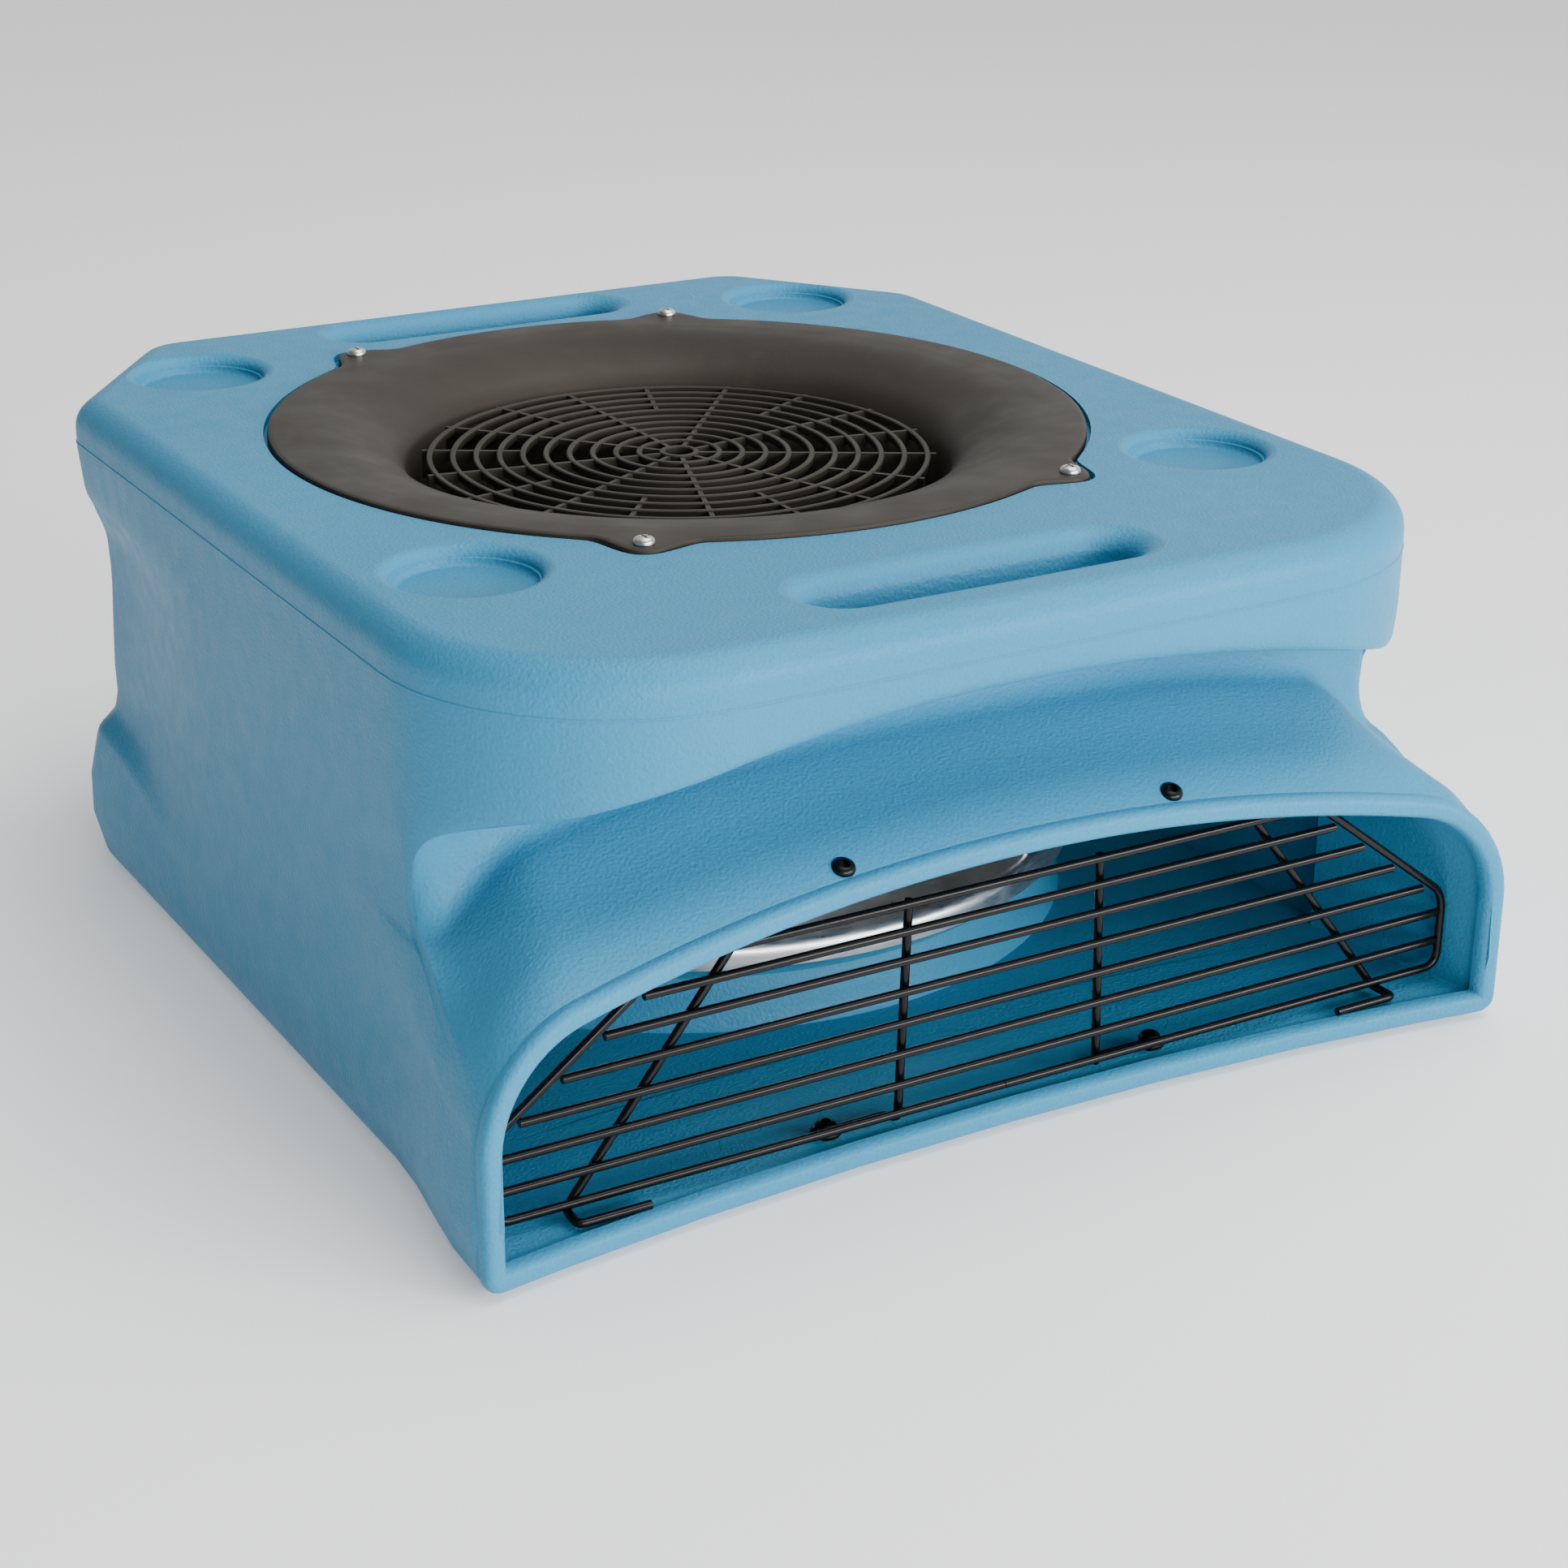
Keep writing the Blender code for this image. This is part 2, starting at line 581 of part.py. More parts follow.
def cut_grille_fixings(housing):
    """Screw holes in the nozzle's roof and in the duct's floor."""
    for side in (-1, 1):
        roof = turned(f"tool_roof_hole_{side}", [(2.4, -30), (2.4, 12)], 10, hollow=False)
        place_tilted(roof, (side * NOZZLE_SCREW[0], *NOZZLE_SCREW[1:]), NOZZLE_TILT)
        boolean(housing, roof)
        boolean(housing, turned(f"tool_floor_hole_{side}", [(2.4, 2.5), (2.4, FLOOR + 6)], 10,
                                centre=(side * FLOOR_SCREW[0], FLOOR_SCREW[1]), hollow=False))


def cut_control_opening(housing):
    """A flat recess in the rear wall with openings for the switch and the cord gland."""
    wide, tall = PANEL_HALF
    pad = box("tool_pad", (-wide - 6, PANEL_Y - 6, PANEL_Z - tall - 6), (wide + 6, PANEL_Y + 2, PANEL_Z + tall + 6))
    boolean(housing, pad, "UNION")
    boolean(housing, box("tool_recess", (-wide, PANEL_Y, PANEL_Z - tall), (wide, PANEL_Y + 30, PANEL_Z + tall)))
    boolean(housing, box("tool_switch_opening", (SWITCH_X - 12, 225, PANEL_Z - 16),
                         (SWITCH_X + 12, 270, PANEL_Z + 16)))
    boolean(housing, box("tool_gland_opening", (GLAND_X - 13, 225, PANEL_Z - 13),
                         (GLAND_X + 13, 270, PANEL_Z + 13)))
    for i, (x, z) in enumerate(panel_corners()):
        hole = turned(f"tool_panel_hole_{i}", [(1.7, -9), (1.7, 8)], 8, hollow=False, start=0.1 + 0.2 * i)
        place_tilted(hole, (x, PANEL_Y, z), -pi / 2)
        boolean(housing, hole)


def panel_corners():
    wide, tall = PANEL_HALF
    return [(x * (wide - 6), PANEL_Z + z * (tall - 6)) for x in (-1, 1) for z in (-1, 1)]


# Inlet -------------------------------------------------------------------------------------------------
def build_inlet_ring(mat):
    seat = RING_SEAT + GAP
    rows = [ring_loop(RING_RADIUS, LUG_REACH, seat), ring_loop(RING_RADIUS, LUG_REACH, seat + 3.2),
            ring_loop(RING_RADIUS - 1.2, LUG_REACH - 0.4, seat + 4.6),
            ring_loop(RING_RADIUS - 3.0, LUG_REACH - 2.0, seat + 4.4)]
    for radius, z in ((176, seat + 4.6), (160, seat + 3.0), (145, seat - 2.0), (132, seat - 10),
                      (124, seat - 26), (THROAT, seat - 46), (THROAT, 146), (THROAT + 2.4, 146),
                      (THROAT + 2.4, seat - 46), (128, seat - 24), (140, seat - 8), (168, seat)):
        rows.append(ring_loop(radius, 0.0, z))
    ring = mesh_object("inlet_ring", *loft(rows, close=True), mat)
    for i, angle in enumerate(LUG_ANGLES):
        centre = (LUG_SCREW * cos(angle), LUG_SCREW * sin(angle))
        boolean(ring, turned(f"tool_ring_hole_{i}", [(2.8, RING_SEAT - 5), (2.8, HEIGHT + 9)], 10,
                             centre=centre, hollow=False))
    return ring


def rib_bar(name, angle, inner, outer, low, high, thick):
    """One radial rib standing on edge."""
    along = (cos(angle), sin(angle))
    side = (-along[1] * thick / 2, along[0] * thick / 2)
    corners = [(inner * along[0] - side[0], inner * along[1] - side[1]),
               (outer * along[0] - side[0], outer * along[1] - side[1]),
               (outer * along[0] + side[0], outer * along[1] + side[1]),
               (inner * along[0] + side[0], inner * along[1] + side[1])]
    return mesh_object(name, *loft([[(x, y, z) for x, y in corners] for z in (low, high)]))


def build_finger_guard(mat):
    """Concentric rings on deep radial ribs that reach the throat's wall; every second rib is short."""
    hub = GUARD_HUB
    guard = turned("finger_guard", [(hub + 1.5, GUARD_TOP), (hub - 1.5, GUARD_TOP), (hub - 1.5, GUARD_TOP - 8),
                                    (hub + 1.5, GUARD_TOP - 8)], 12, mat)
    for rib in range(GUARD_RIBS):
        angle = -pi / 2 + 2 * pi * rib / GUARD_RIBS
        inner = hub if rib % 2 else hub + 6 * GUARD_PITCH
        boolean(guard, rib_bar(f"tool_rib_{rib}", angle, inner, THROAT - 0.7, GUARD_TOP - 14,
                               GUARD_TOP - 1.0, 2.4), "UNION")
    for i in range(1, GUARD_RINGS):
        radius = hub + i * GUARD_PITCH
        count = 18 if i < 7 else 36
        section = [(radius + 1.4, GUARD_TOP), (radius - 1.4, GUARD_TOP), (radius, GUARD_TOP - 4.0)]
        boolean(guard, turned(f"tool_guard_ring_{i}", section, count, start=pi / GUARD_RIBS), "UNION")
    return guard


def screw(name, mat, head, height, shank, length, seat, centre, count=10):
    """A pan-head screw whose head stands on the seat height and whose shank runs down."""
    profile = [(shank, seat - length), (shank, seat), (head, seat), (head, seat + 0.45 * height),
               (0.62 * head, seat + height)]
    return turned(name, profile, count, mat, centre, hollow=False)


def build_ring_screws(mat):
    for i, angle in enumerate(LUG_ANGLES):
        centre = (LUG_SCREW * cos(angle), LUG_SCREW * sin(angle))
        screw(f"ring_screw_{i + 1}", mat, 4.7, 3.0, 2.4, 15.0, RING_SEAT + 5.3, centre)


# Impeller and motor ------------------------------------------------------------------------------------
def shroud_height(radius):
    """Underside of the impeller's front ring at one radius."""
    t = min(max((WHEEL_RADIUS - radius) / 62.0, 0.0), 1.0)
    return 112.0 + 26.0 * t ** 1.5


def build_back_plate(mat):
    outer = WHEEL_RADIUS
    profile = [(CAN_RADIUS + GAP, WHEEL_PLATE - 2), (outer - 6, WHEEL_PLATE - 2), (outer - 2.6, WHEEL_PLATE - 4.5),
               (outer - 2, WHEEL_RIM), (outer, WHEEL_RIM), (outer, WHEEL_PLATE - 4), (outer - 4.5, WHEEL_PLATE),
               (CAN_RADIUS + GAP, WHEEL_PLATE)]
    return turned("impeller_back_plate", profile, 40, mat)


def build_shroud(mat):
    lower = [(WHEEL_RADIUS - 62.0 * t, shroud_height(WHEEL_RADIUS - 62.0 * t)) for t in (0, 0.2, 0.45, 0.7, 1.0)]
    collar = [(126.2, 150.0), (128.0, 150.0)]
    upper = [(r + 1.0, z + 1.8) for r, z in reversed(lower)]
    return turned("impeller_shroud", lower + collar + upper, 36, mat)


def build_blade(index, mat):
    """Backward-curved sheet standing between the back plate and the shroud."""
    thick = 1.6
    steps = 8
    start = 2 * pi * index / BLADES
    loops = []
    for i in range(steps + 1):
        t = i / steps
        radius = mix(80.0, WHEEL_RADIUS - 6.0, t)
        angle = start - radians(58.0) * t ** 0.85
        ahead = mix(radians(62.0), radians(50.0), t)
        across = (cos(angle + pi / 2 - ahead), sin(angle + pi / 2 - ahead))
        x, y = radius * cos(angle), radius * sin(angle)
        top = min(shroud_height(radius + 2.5), 138.0) - 2 * GAP
        low = WHEEL_PLATE + GAP
        loops.append([(x - across[0] * thick / 2, y - across[1] * thick / 2, low),
                      (x + across[0] * thick / 2, y + across[1] * thick / 2, low),
                      (x + across[0] * thick / 2, y + across[1] * thick / 2, top),
                      (x - across[0] * thick / 2, y - across[1] * thick / 2, top)])
    return mesh_object(f"impeller_blade_{index + 1}", *loft(loops), mat)


def build_rotor(can_mat, shaft_mat):
    r = CAN_RADIUS
    profile = [(r - 3, 46), (r, 46), (r, WHEEL_PLATE + GAP), (r + 15, WHEEL_PLATE + GAP), (r + 15, 54.6),
               (r, 54.6), (r, 103), (r - 4, 107), (5.3, 107), (5.3, 103.4), (r - 6, 103.4), (r - 3, 101)]
    turned("rotor_can", profile, 24, can_mat)
    turned("motor_shaft", [(5.0, 49), (5.0, 108.5), (4.2, 110)], 16, shaft_mat, hollow=False)


def build_stator(core_mat, bearing_mat, plate_mat, screw_mat):
    bore = 11.3
    turned("motor_stator", [(bore, 40.0), (50, 40.0), (50, 44.0), (36, 44.0), (36, 56.0), (39.5, 58.0),
                            (39.5, 90.0), (36, 92.0), (30, 99.0), (bore, 99.0)], 24, core_mat)
    for name, low in (("bearing_lower", 50.0), ("bearing_upper", 86.0)):
        turned(name, [(5.25, low), (bore - GAP, low), (bore - GAP, low + 7), (5.25, low + 7)], 20, bearing_mat)
    plate = turned("motor_plate", [(12, PEDESTAL + GAP), (80, PEDESTAL + GAP), (80, PEDESTAL + 2.8),
                                   (12, PEDESTAL + 2.8)], 36, plate_mat)
    spacer = turned("motor_flange_spacer", [(14, PEDESTAL + 3.1), (46, PEDESTAL + 3.1), (46, 39.7), (14, 39.7)],
                    28, plate_mat)
    for i, centre in enumerate(motor_screw_places()):
        boolean(plate, turned(f"tool_plate_hole_{i}", [(2.9, PEDESTAL - 4), (2.9, PEDESTAL + 8)], 10,
                              centre=centre, hollow=False, start=0.1 + 0.2 * i))
        screw(f"motor_screw_{i + 1}", screw_mat, 4.2, 2.4, 2.4, 7.0, PEDESTAL + 3.1, centre)
    return spacer


# Outlet grille -----------------------------------------------------------------------------------------
def wire(name, points, mat, radius=WIRE):
    """A round wire through the given points, in millimetres."""
    curve = bpy.data.curves.new(name, "CURVE")
    curve.dimensions = "3D"
    curve.bevel_depth = radius * MM
    curve.bevel_resolution = 1
    curve.use_fill_caps = True
    spline = curve.splines.new("POLY")
    spline.points.add(len(points) - 1)
    for target, point in zip(spline.points, points):
        target.co = (point[0] * MM, point[1] * MM, point[2] * MM, 1.0)
    return place(bpy.data.objects.new(name, curve), mat)


def bend(points, radius, steps=4):
    """A route of straight runs with its inner corners rounded."""
    route = [Vector(points[0])]
    for i in range(1, len(points) - 1):
        before, corner, after = (Vector(p) for p in points[i - 1:i + 2])
        first = corner + (before - corner).normalized() * radius
        last = corner + (after - corner).normalized() * radius
        for k in range(steps + 1):
            t = k / steps
            route.append(first.lerp(corner, t).lerp(corner.lerp(last, t), t))
    route.append(Vector(points[-1]))
    return route


def build_grille(mat):
    """Welded wire guard: a closed frame, cross wires in its plane, and four uprights behind it."""
    low, top, half = GRILLE_LOW, GRILLE_TOP, GRILLE_HALF
    corners = [(0, low), (half, low), (half, FRAME_SHOULDER), (FRAME_TOP_HALF, top),
               (-FRAME_TOP_HALF, top), (-half, FRAME_SHOULDER), (-half, low), (-0.4, low)]
    wire("grille_frame", bend([(x, GRILLE_Y, z) for x, z in corners], 8.0), mat)
    slope = (half - FRAME_TOP_HALF) / (top - FRAME_SHOULDER)
    for i, z in enumerate(CROSS_WIRES):
        past = max(z + WIRE - FRAME_SHOULDER, 0.0)
        edge = half - past * slope - WIRE - (1.8 if past else 0.4)
        wire(f"grille_wire_{i + 1}", [(-edge, GRILLE_Y, z), (edge, GRILLE_Y, z)], mat)
    for side, label in ((-1, "left"), (1, "right")):
        outer = [(127, UPRIGHT_Y, top), (203, UPRIGHT_Y, FOOT_WIRE), (204, -294, FOOT_WIRE), (172, -294, FOOT_WIRE)]
        wire(f"grille_upright_outer_{label}", bend([(side * x, y, z) for x, y, z in outer], 3.5), mat)
        eye_x, eye_y = FLOOR_SCREW
        loop = [(eye_x - 4.8 * cos(a), eye_y - 4.8 * sin(a), FOOT_WIRE) for a in (pi * k / 5 for k in range(0, 9))]
        inner = bend([(47, UPRIGHT_Y, top), (50, UPRIGHT_Y, FOOT_WIRE), (54, eye_y, FOOT_WIRE),
                      (eye_x - 5.4, eye_y, FOOT_WIRE)], 2.0, 3)
        route = [tuple(p) for p in inner][:-1] + loop
        wire(f"grille_upright_inner_{label}", [(side * x, y, z) for x, y, z in route], mat)


def build_grille_screws(mat):
    for side, label in ((-1, "left"), (1, "right")):
        top = screw(f"nozzle_screw_{label}", mat, 5.0, 2.8, 2.1, 12.0, 0.0, (0.0, 0.0))
        place_tilted(top, (side * NOZZLE_SCREW[0], *NOZZLE_SCREW[1:]), NOZZLE_TILT)
        screw(f"floor_screw_{label}", mat, 4.6, 2.8, 2.1, 10.0, FOOT_WIRE + WIRE + GAP,
              (side * FLOOR_SCREW[0], FLOOR_SCREW[1]))


# Rear controls, electrics and feet ---------------------------------------------------------------------
def build_control_plate(plate_mat, screw_mat):
    wide, tall = PANEL_HALF
    plate = box("control_plate", (-wide + 1, PANEL_Y + GAP, PANEL_Z - tall + 1),
                (wide - 1, PANEL_Y + 2.3, PANEL_Z + tall - 1), plate_mat)
    boolean(plate, box("tool_plate_switch", (SWITCH_X - 10.4, PANEL_Y - 5, PANEL_Z - 14),
                       (SWITCH_X + 10.4, PANEL_Y + 9, PANEL_Z + 14)))
    gland = turned("tool_plate_gland", [(8.4, -9), (8.4, 9)], 24, hollow=False)
    place_tilted(gland, (GLAND_X, PANEL_Y, PANEL_Z), -pi / 2)
    boolean(plate, gland)
    for i, (x, z) in enumerate(panel_corners()):
        hole = turned(f"tool_plate_screw_{i}", [(1.9, -9), (1.9, 9)], 8, hollow=False, start=0.1 + 0.2 * i)
        place_tilted(hole, (x, PANEL_Y, z), -pi / 2)
        boolean(plate, hole)
        fixing = screw(f"panel_screw_{i + 1}", screw_mat, 3.2, 1.8, 1.4, 7.0, 0.0, (0.0, 0.0))
        place_tilted(fixing, (x, PANEL_Y + 2.6, z), -pi / 2)


def build_switch(body_mat, rocker_mat):
    """Rocker switch that snaps into the plate; its paddle turns about a horizontal pivot."""
    face = PANEL_Y + 2.6
    body = box("switch_body", (SWITCH_X - 12.4, face, PANEL_Z - 16), (SWITCH_X + 12.4, face + 2.0, PANEL_Z + 16),
               body_mat)
    boolean(body, box("tool_switch_barrel", (SWITCH_X - 10, PANEL_Y - 17, PANEL_Z - 13.6),
                      (SWITCH_X + 10, face + 0.5, PANEL_Z + 13.6)), "UNION")
    boolean(body, box("tool_switch_pocket", (SWITCH_X - 8, PANEL_Y - 1, PANEL_Z - 11),
                      (SWITCH_X + 8, face + 6, PANEL_Z + 11)))
    outline = [(-2.5, -9.2), (5.4, -9.6), (6.0, -9.0), (4.3, 0.0), (6.0, 9.0), (5.4, 9.6), (-2.5, 9.2)]
    loops = [[(x, y, z) for y, z in outline] for x in (-7.6, 7.6)]
    rocker = mesh_object("switch_rocker", *loft(loops), rocker_mat)
    place_tilted(rocker, (SWITCH_X, PANEL_Y + ROCKER_PIVOT, PANEL_Z), -ROCKER_TILT)


def build_gland(mat):
    """Cord gland with an empty bore for the supply cord, clamped through the plate by its nut."""
    profile = [(3.8, -14), (8.0, -14), (8.0, 2.6), (11.0, 2.6), (11.0, 7.0), (8.6, 8.0), (7.2, 14.5), (3.8, 14.5)]
    gland = turned("cord_gland", profile, 20, mat)
    place_tilted(gland, (GLAND_X, PANEL_Y, PANEL_Z), -pi / 2)
    nut = turned("cord_gland_nut", [(9.6, -5.5), (12.4, -5.5), (12.4, -0.6), (9.6, -0.6)], 6, mat)
    place_tilted(nut, (GLAND_X, PANEL_Y, PANEL_Z), -pi / 2)


def build_capacitor(mat, clamp_mat):
    """Run capacitor lying along the rear wall, with its clamp ring."""
    centre = Vector((-110.0, 217.0, 62.0))
    body = turned("run_capacitor", [(14, -32), (17, -30), (17, 30), (14, 32)], 20, mat, hollow=False)
    clamp = turned("capacitor_clamp", [(17.3, -8), (19.3, -8), (19.3, 8), (17.3, 8)], 20, clamp_mat)
    for obj in (body, clamp):
        obj.location = centre * MM
        obj.rotation_euler = (0.0, pi / 2, 0.0)


def build_feet(mat):
    """Low rubber pads under the four corners of the base."""
    places = ((-216.0, -283.0), (216.0, -283.0), (-140.0, 232.0), (140.0, 232.0))
    for i, (x, y) in enumerate(places):
        loops = []
        for inset, z in ((1.0, -FOOT), (0.0, -FOOT + 0.8), (0.0, -0.3)):
            loops.append([(x + px, py, z) for px, py, z in stadium(22.0 - inset, 11.0 - inset, z, y, 6)])
        mesh_object(f"foot_{i + 1}", *loft(loops), mat)


def build():
    clear_scene()
    axis = bpy.data.objects.new("fan_axis", None)
    axis.location = (0.0, FAN_Y * MM, FOOT * MM)
    bpy.context.scene.collection.objects.link(axis)

    blue = material("housing_blue", (0.13, 0.36, 0.53), 0.5)
    black = material("black_moulding", (0.035, 0.032, 0.030), 0.5)
    zinc = material("zinc_steel", (0.62, 0.62, 0.58), 0.35, 1.0)
    wheel = material("wheel_sheet", (0.60, 0.62, 0.64), 0.38, 1.0)
    wire_black = material("wire_coating", (0.012, 0.012, 0.012), 0.3)
    motor = material("motor_paint", (0.05, 0.05, 0.055), 0.45)
    core = material("stator_resin", (0.16, 0.14, 0.12), 0.6)
    plate = material("plate_steel", (0.42, 0.43, 0.44), 0.5, 1.0)
    shiny = material("switch_gloss", (0.015, 0.015, 0.016), 0.25)
    grey = material("capacitor_shell", (0.55, 0.56, 0.56), 0.4)
    rubber = material("foot_rubber", (0.02, 0.02, 0.02), 0.85)

    build_housing(blue)
    build_inlet_ring(black)
    build_finger_guard(black)
    build_ring_screws(zinc)
    build_back_plate(wheel)
    build_shroud(wheel)
    for index in range(BLADES):
        build_blade(index, wheel)
    build_rotor(motor, zinc)
    build_stator(core, zinc, plate, zinc)
    build_grille(wire_black)
    build_grille_screws(wire_black)
    build_control_plate(plate, zinc)
    build_switch(shiny, shiny)
    build_gland(black)
    build_capacitor(grey, plate)
    build_feet(rubber)


build()
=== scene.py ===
"""Looks of the low-profile floor air mover: fine shells, materials, studio floor, light and camera."""

import json
from math import asin, cos, hypot, pi, radians, sin, sqrt

import bmesh
import bpy
from mathutils import Matrix, Vector


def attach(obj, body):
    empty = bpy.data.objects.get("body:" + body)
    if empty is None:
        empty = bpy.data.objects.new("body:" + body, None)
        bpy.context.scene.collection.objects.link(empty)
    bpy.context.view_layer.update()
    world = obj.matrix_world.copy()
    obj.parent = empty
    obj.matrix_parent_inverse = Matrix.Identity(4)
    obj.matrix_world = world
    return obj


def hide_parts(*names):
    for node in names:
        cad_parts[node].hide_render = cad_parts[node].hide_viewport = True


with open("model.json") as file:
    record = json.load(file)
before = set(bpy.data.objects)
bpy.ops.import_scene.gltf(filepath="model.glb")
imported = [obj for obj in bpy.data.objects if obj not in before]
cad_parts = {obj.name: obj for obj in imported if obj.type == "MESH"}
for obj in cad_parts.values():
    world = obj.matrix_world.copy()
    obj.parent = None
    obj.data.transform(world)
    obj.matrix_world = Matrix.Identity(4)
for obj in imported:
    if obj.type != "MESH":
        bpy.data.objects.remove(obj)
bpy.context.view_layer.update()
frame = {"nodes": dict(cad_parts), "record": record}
MM = 0.001


# Driving dimensions, millimetres -----------------------------------------------------------------------
HEIGHT = 235.5  # floor to the flat top of the slab
REAR = 262.0  # fan axis to the back of the plinth
LIP_SET_BACK = 293.0  # fan axis to the mouth's lip at its middle
LIP_BOW = 17.0  # how much further forward the lip stands 240 mm out
LIP_REACH = 311.1  # fan axis to the lip's foremost points
MOUTH_HALF = 251.0  # half width over the mouth's lip
PLINTH_HALF = 239.3  # half width of the plinth
SLAB_HALF = 237.3  # half width of the slab
WAIST_HALF = 226.7  # half width of the waist between them, at the rear
WAIST_FRONT = 236.9  # half width of the waist where it meets the mouth's flank
WAIST_CORNER = 11.0  # plan radius of the waist's front corners
SLAB_FRONT = 300.0  # fan axis to the slab's front face
SLAB_CORNER = 100.0  # plan radius of the slab's front corners
SLAB_FILLET = 14.0  # round of the slab's top edge
PARTING = 214.0  # height of the mould's parting line
WALL = 6.0  # skin of the moulded housing
FLOOR = 8.0  # height of the duct's floor
MOUTH_CUT = 8.0  # how far inside the lip's outline the duct is cut

LIP_THICK = 10.0  # thickness of the mouth's lip
LIP_DEEP = 7.0  # how far the lip's bead reaches back
CROWN_TOP = 132.5  # highest point of the lip's arch
CROWN_RADIUS = 1000.0  # radius of the arch's long crown
CROWN_CORNER = 56.0  # radius of its upper corners
NOZZLE_SLOPE = 0.43  # rise of the nozzle's roof per unit of depth

CHAMFER = radians(36.4)  # direction of the rear corners' flats
CHAMFER_REACH = 290.7  # fan axis to those flats, on the slab
CHAMFER_ROUND = 20.0

CUP_RADIUS = 34.6  # stacking cups
CUP_DEPTH = 8.0
CUP_FRONT = (181.7, -158.2)
CUP_REAR = (166.7, 186.3)
GRIP_HALF = (84.0, 21.0)  # hand recesses, half length and half width
GRIP_DEPTH = 22.0
GRIP_FRONT_Y = -252.0
GRIP_REAR_Y = 224.0

RING_RADIUS = 190.0  # bellmouth ring
RING_SEAT = 232.0  # height of its seat in the slab
INLET_HOLE = 172.0  # hole in the slab under the ring
THROAT = 121.3
LUG_REACH = 16.0
LUG_WIDTH = radians(7.2)
LUG_SCREW = 197.2
LUG_ANGLES = tuple(radians(a) for a in (-122.4, -57.6, 63.6, 116.4))
RING_STEPS = 150  # directions around the ring, and more of them at each lug
LUG_STEPS = 19
GUARD_TOP = 219.5
GUARD_RINGS = 11
GUARD_HUB = 8.0
GUARD_PITCH = 10.86
GUARD_RIBS = 18

WHEEL_RADIUS = 190.0  # impeller
WHEEL_RIM = 40.0  # height of the back plate's turned rim
WHEEL_PLATE = 52.0  # top of the back plate
BLADES = 7
CAN_RADIUS = 45.0  # motor's rotor can
PEDESTAL = 34.0  # top of the moulded motor pedestal

WIRE = 1.9  # radius of the outlet grille's wire
GRILLE_Y = -285.0  # plane of the grille's frame
UPRIGHT_Y = -280.9  # plane of the uprights behind it
GRILLE_HALF = 236.5  # half width of the frame
GRILLE_LOW = 16.0  # height of the frame's bottom run
GRILLE_TOP = 110.0  # height of its top run
FRAME_SHOULDER = 52.0  # height where the frame's sides start to slope inwards
FRAME_TOP_HALF = 160.0  # half width where the slopes meet the top run
CROSS_WIRES = (29.0, 43.0, 57.0, 71.0, 85.0, 98.0)
FOOT_WIRE = 11.7  # height of the uprights' feet
FLOOR_SCREW = (82.0, -276.5)
NOZZLE_SCREW = (80.0, -284.0, 132.0)
NOZZLE_TILT = radians(25.4)

PANEL_Y = 246.0  # flat floor of the control plate's recess at the rear
PANEL_Z = 122.0
PANEL_HALF = (52.0, 26.0)
SWITCH_X = -22.0
GLAND_X = 26.0

FOOT = 2.5  # thickness of the rubber feet
GAP = 0.3  # gap left between touching parts

FAN_Y = (LIP_REACH - REAR) / 2  # fan axis behind the footprint's centre


OFFSET = Vector((0.0, FAN_Y, FOOT))
RIDES = {node: body for body, nodes in frame["record"]["behaviour"]["bodies"].items() for node in nodes}


# Mesh helpers ------------------------------------------------------------------------------------------
def mesh_object(name, verts, faces, sharp=35.0):
    """One object from points in millimetres around the fan axis, with outward faces."""
    mesh = bpy.data.meshes.new(name)
    mesh.from_pydata([Vector(v) * MM for v in verts], [], faces)
    bm = bmesh.new()
    bm.from_mesh(mesh)
    bmesh.ops.recalc_face_normals(bm, faces=bm.faces)
    bm.to_mesh(mesh)
    bm.free()
    mesh.shade_smooth()
    mesh.set_sharp_from_angle(angle=radians(sharp))
    obj = bpy.data.objects.new(name, mesh)
    obj.location = OFFSET * MM
    bpy.context.scene.collection.objects.link(obj)
    return obj


def place_tilted(obj, point, tilt):
    obj.location = (OFFSET + Vector(point)) * MM
    obj.rotation_euler = (tilt, 0.0, 0.0)
    return obj


def boolean(target, tools, operation="DIFFERENCE"):
    """Cut or join with all tools at once, then drop them."""
    group = bpy.data.collections.new("tools")
    for tool in tools:
        group.objects.link(tool)
    mod = target.modifiers.new("cut", "BOOLEAN")
    mod.operation = operation
    mod.operand_type = "COLLECTION"
    mod.collection = group
    mod.solver = "EXACT"
    bake(target)
    for tool in tools:
        bpy.data.objects.remove(tool)
    bpy.data.collections.remove(group)
    return target


def bake(obj):
    """Apply an object's modifiers to its own mesh."""
    bpy.context.view_layer.update()
    evaluated = obj.evaluated_get(bpy.context.evaluated_depsgraph_get())
    mesh = bpy.data.meshes.new_from_object(evaluated)
    obj.modifiers.clear()
    obj.data = mesh
    return obj


def finish_shell(obj, angle=32.0):
    """Smooth shading with area-weighted normals, so big flats stay flat beside their rounds."""
    obj.data.shade_smooth()
    obj.data.set_sharp_from_angle(angle=radians(angle))
    weights = obj.modifiers.new("weighted_normals", "WEIGHTED_NORMAL")
    weights.keep_sharp = True
    return obj


def joined(name, objects):
    """One object from several, each keeping its own surfaces."""
    bpy.context.view_layer.update()
    bm = bmesh.new()
    for obj in objects:
        mesh = obj.data.copy()
        mesh.transform(obj.matrix_world)
        bm.from_mesh(mesh)
    mesh = bpy.data.meshes.new(name)
    bm.to_mesh(mesh)
    bm.free()
    for obj in objects:
        bpy.data.objects.remove(obj)
    whole = bpy.data.objects.new(name, mesh)
    bpy.context.scene.collection.objects.link(whole)
    whole.data.shade_smooth()
    whole.data.set_sharp_from_angle(angle=radians(35.0))
    return whole


